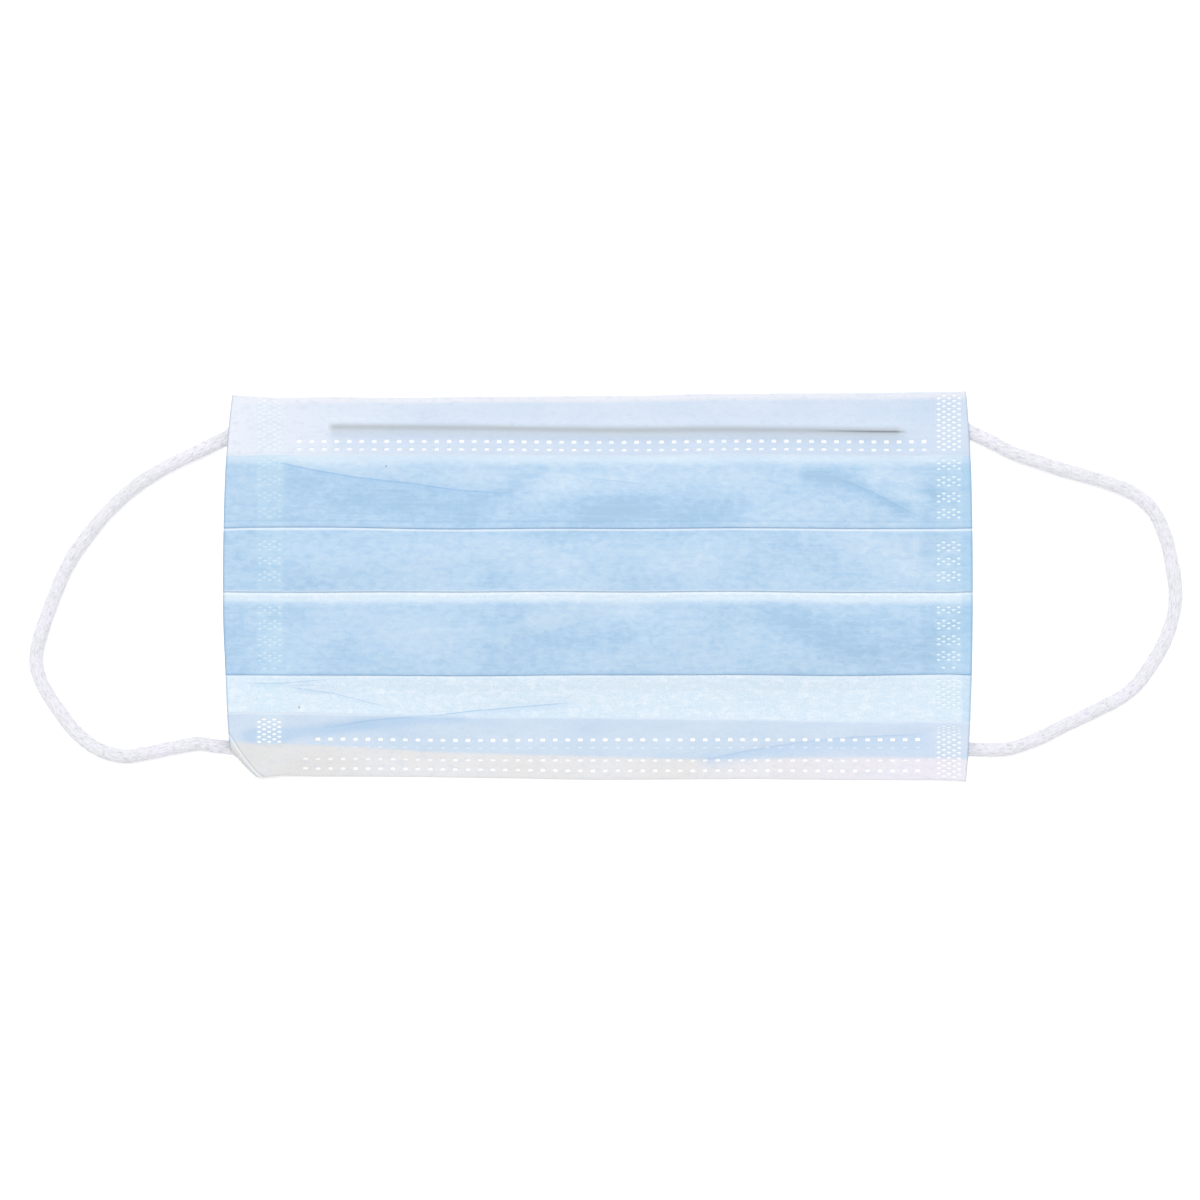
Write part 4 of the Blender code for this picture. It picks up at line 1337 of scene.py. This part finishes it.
# Painted highlight along the front flap's edge
colour = paint_where(white, colour, tint, (0.0, 1.0), (0.0, 0.6), "EEF2F6")
colour = paint_where(white, colour, pressed, (0.1, 1.0), (0.0, 1.0), "FEFEFE")
smooth = add_node(white, "MapRange", {0: pressed, 1: 0.1, 2: 1.0, 3: CLOTH_ROUGHNESS, 4: MELTED_ROUGHNESS})
finish_cloth(white, colour, smooth, pattern)
for piece in hems:
    piece.data.materials.append(white)

# %% White spunbond polypropylene, the panel's back
inner = empty_material("white_spunbond_inner_ply")
pattern = spunbond_pattern(inner)
colour = linear("DDE1E6")
for name, low, high, amount, shade in (
    ("clouds", 0.3, 0.7, 1.0, "E6E9ED"), ("mottle", 0.45, 0.7, 0.35, "CDD6E0"),
    ("fibres", 0.0, 1.0, 0.25, "C9D2DC"), ("streaks", 0.5, 0.75, 0.30, "F0F2F4"),
    ("grain", 0.5, 0.8, 0.30, "F2F4F6"),
):
    colour = paint_where(inner, colour, pattern[name], (low, high), (0.0, amount), shade)
pressed = add_node(inner, "Attribute", attribute_name="pressed").outputs["Fac"]
colour = paint_where(inner, colour, pressed, (0.1, 1.0), (0.0, 0.6), "CFDCE8")
finish_cloth(inner, colour, CLOTH_ROUGHNESS, pattern)
panel.data.materials.append(inner)

# %% [markdown]
# ## Coat of the nose wire
#
# The steel strip is drawn through a die that lays white polyethylene round it. The coat is smooth and a
# little waxy, with fine lines along it from the die, about 0.2 mm apart.

# %% Extruded polyethylene coat
POLYETHYLENE_IOR = 1.51
coat = empty_material("extruded_polyethylene_coat")
place = add_node(coat, "TexCoord").outputs["Object"]
place = add_node(coat, "VectorMath", {0: place, 1: (40, 5000, 5000)}, operation="MULTIPLY")
lines = add_node(coat, "TexNoise", {"Vector": place, "Scale": 1.0, "Detail": 3.0, "Roughness": 0.6})
colour = add_node(coat, "Mix", {0: lines, 6: linear("C3CAD1"), 7: linear("DCE1E5")}, data_type="RGBA")
waxy = add_node(coat, "MapRange", {0: lines, 1: 0.3, 2: 0.7, 3: 0.38, 4: 0.52})
bump = add_node(coat, "Bump", {"Height": lines, "Strength": 0.3, "Distance": 0.00004})
shader = add_node(coat, "BsdfPrincipled", {
    "Base Color": colour, "Roughness": waxy, "IOR": POLYETHYLENE_IOR, "Normal": bump,
})
add_node(coat, "OutputMaterial", {"Surface": shader})
wire.data.materials.append(coat)
print("wire coat:", len(coat.node_tree.nodes), "nodes")

# %% [markdown]
# ## Knitted elastic
#
# The loops are a thin spandex core in a knitted jacket of crimped white polyester, a soft, dull white. The
# gaps between the stitches get a painted grey shade and the stitches a little painted light. A stitch is
# about 0.7 mm long and 0.35 mm wide and leans a little, so the streaks run along the cord and slowly round
# it.

# %% Knitted polyester jacket
STITCH_WIDTH = 0.35  # mm
STITCH_LENGTH = 1.4  # drawn twice as long as the real stitch, which is too fine to show
POLYESTER_IOR = 1.53
elastic = empty_material("knitted_polyester_elastic")
along = add_node(elastic, "UVMap", uv_map="along")
per_stitch = (1000 / STITCH_WIDTH, 1000 / STITCH_LENGTH, 1)
place = add_node(elastic, "VectorMath", {0: along, 1: per_stitch}, operation="MULTIPLY")
stitches = add_node(elastic, "TexNoise", {
    "Vector": place, "Scale": 1.0, "Detail": 2.0, "Roughness": 0.6, "Distortion": 0.6,
})
space = add_node(elastic, "TexCoord").outputs["Object"]
patches = add_node(elastic, "TexNoise", {"Vector": space, "Scale": 160.0, "Detail": 3.0})
crimp = add_node(elastic, "TexNoise", {"Vector": space, "Scale": 2600.0, "Detail": 2.0})
colour = linear("E0E1E5")
# Patches and crimp are the yarn's own colour; the stitches get painted light and the gaps between them
# painted shade
for value, low, high, amount, shade in (
    (patches, 0.35, 0.65, 1.0, "E6E3EC"), (stitches, 0.5, 0.66, 0.7, "EFEFF5"),
    (stitches, 0.46, 0.32, 0.6, "B4BBC4"), (crimp, 0.5, 0.7, 0.3, "CBD0D8"),
):
    colour = paint_where(elastic, colour, value, (low, high), (0.0, amount), shade)
raised = add_node(elastic, "Math", {0: stitches, 1: crimp}, operation="ADD")
bump = add_node(elastic, "Bump", {"Height": raised, "Strength": 0.5, "Distance": 0.00012})
shader = add_node(elastic, "BsdfPrincipled", {
    "Base Color": colour, "Roughness": 0.9, "IOR": POLYESTER_IOR, "Sheen Weight": 0.15, "Normal": bump,
})
add_node(elastic, "OutputMaterial", {"Surface": shader})
for piece in list(loops.values()) + list(hairs.values()) + tabs:
    piece.data.materials.append(elastic)
print("elastic:", len(elastic.node_tree.nodes), "nodes")

# %% [markdown]
# ## Table
#
# The mask lies on a plain white surface that is lit so evenly that almost no shadow shows. A matte white
# board with a little light of its own, as a light table has, gives that and keeps a faint shade where the
# mask touches it.

# %% Floor
FLOOR = 3.0  # metres from the middle to each side
floor_mesh = bpy.data.meshes.new("floor")
floor_mesh.from_pydata(
    [(-FLOOR, -FLOOR, 0), (FLOOR, -FLOOR, 0), (FLOOR, FLOOR, 0), (-FLOOR, FLOOR, 0)], [], [(0, 1, 2, 3)],
)
floor = bpy.data.objects.new("floor", floor_mesh)
bpy.context.scene.collection.objects.link(floor)
table = empty_material("white_light_table")
shader = add_node(table, "BsdfPrincipled", {
    "Base Color": linear("FAFAFA"), "Roughness": 0.8, "Specular IOR Level": 0.2,
    "Emission Color": (1, 1, 1, 1), "Emission Strength": 0.18,
})
add_node(table, "OutputMaterial", {"Surface": shader})
floor_mesh.materials.append(table)

# %% [markdown]
# ## Light
#
# The photo is lit softly from all round and a little more from above and from the far side, because the
# weld dots are darker at their upper edges and the loops a little greyer below. A bright world gives most
# of it, and one wide lamp 2.4 m above, a little beyond the nose edge, the rest. Together they light a white
# surface to just over full white.

# %% Light
world = bpy.data.worlds.new("studio")
bpy.context.scene.world = world
world.use_nodes = True
world.node_tree.nodes["Background"].inputs["Color"].default_value = (1, 1, 1, 1)
world.node_tree.nodes["Background"].inputs["Strength"].default_value = 0.82
lamp_data = bpy.data.lights.new("softbox", "AREA")
lamp_data.shape = "RECTANGLE"
lamp_data.size = 2.0
lamp_data.size_y = 1.2
lamp_data.energy = 26
lamp = bpy.data.objects.new("softbox", lamp_data)
lamp.location = (-0.2, 0.9, 2.4)
lamp.rotation_euler = (Vector((0, 0, 0)) - lamp.location).to_track_quat("-Z", "Y").to_euler()
bpy.context.scene.collection.objects.link(lamp)
bpy.context.scene.view_settings.view_transform = "Standard"
print("lamp:", lamp_data.energy, "W")
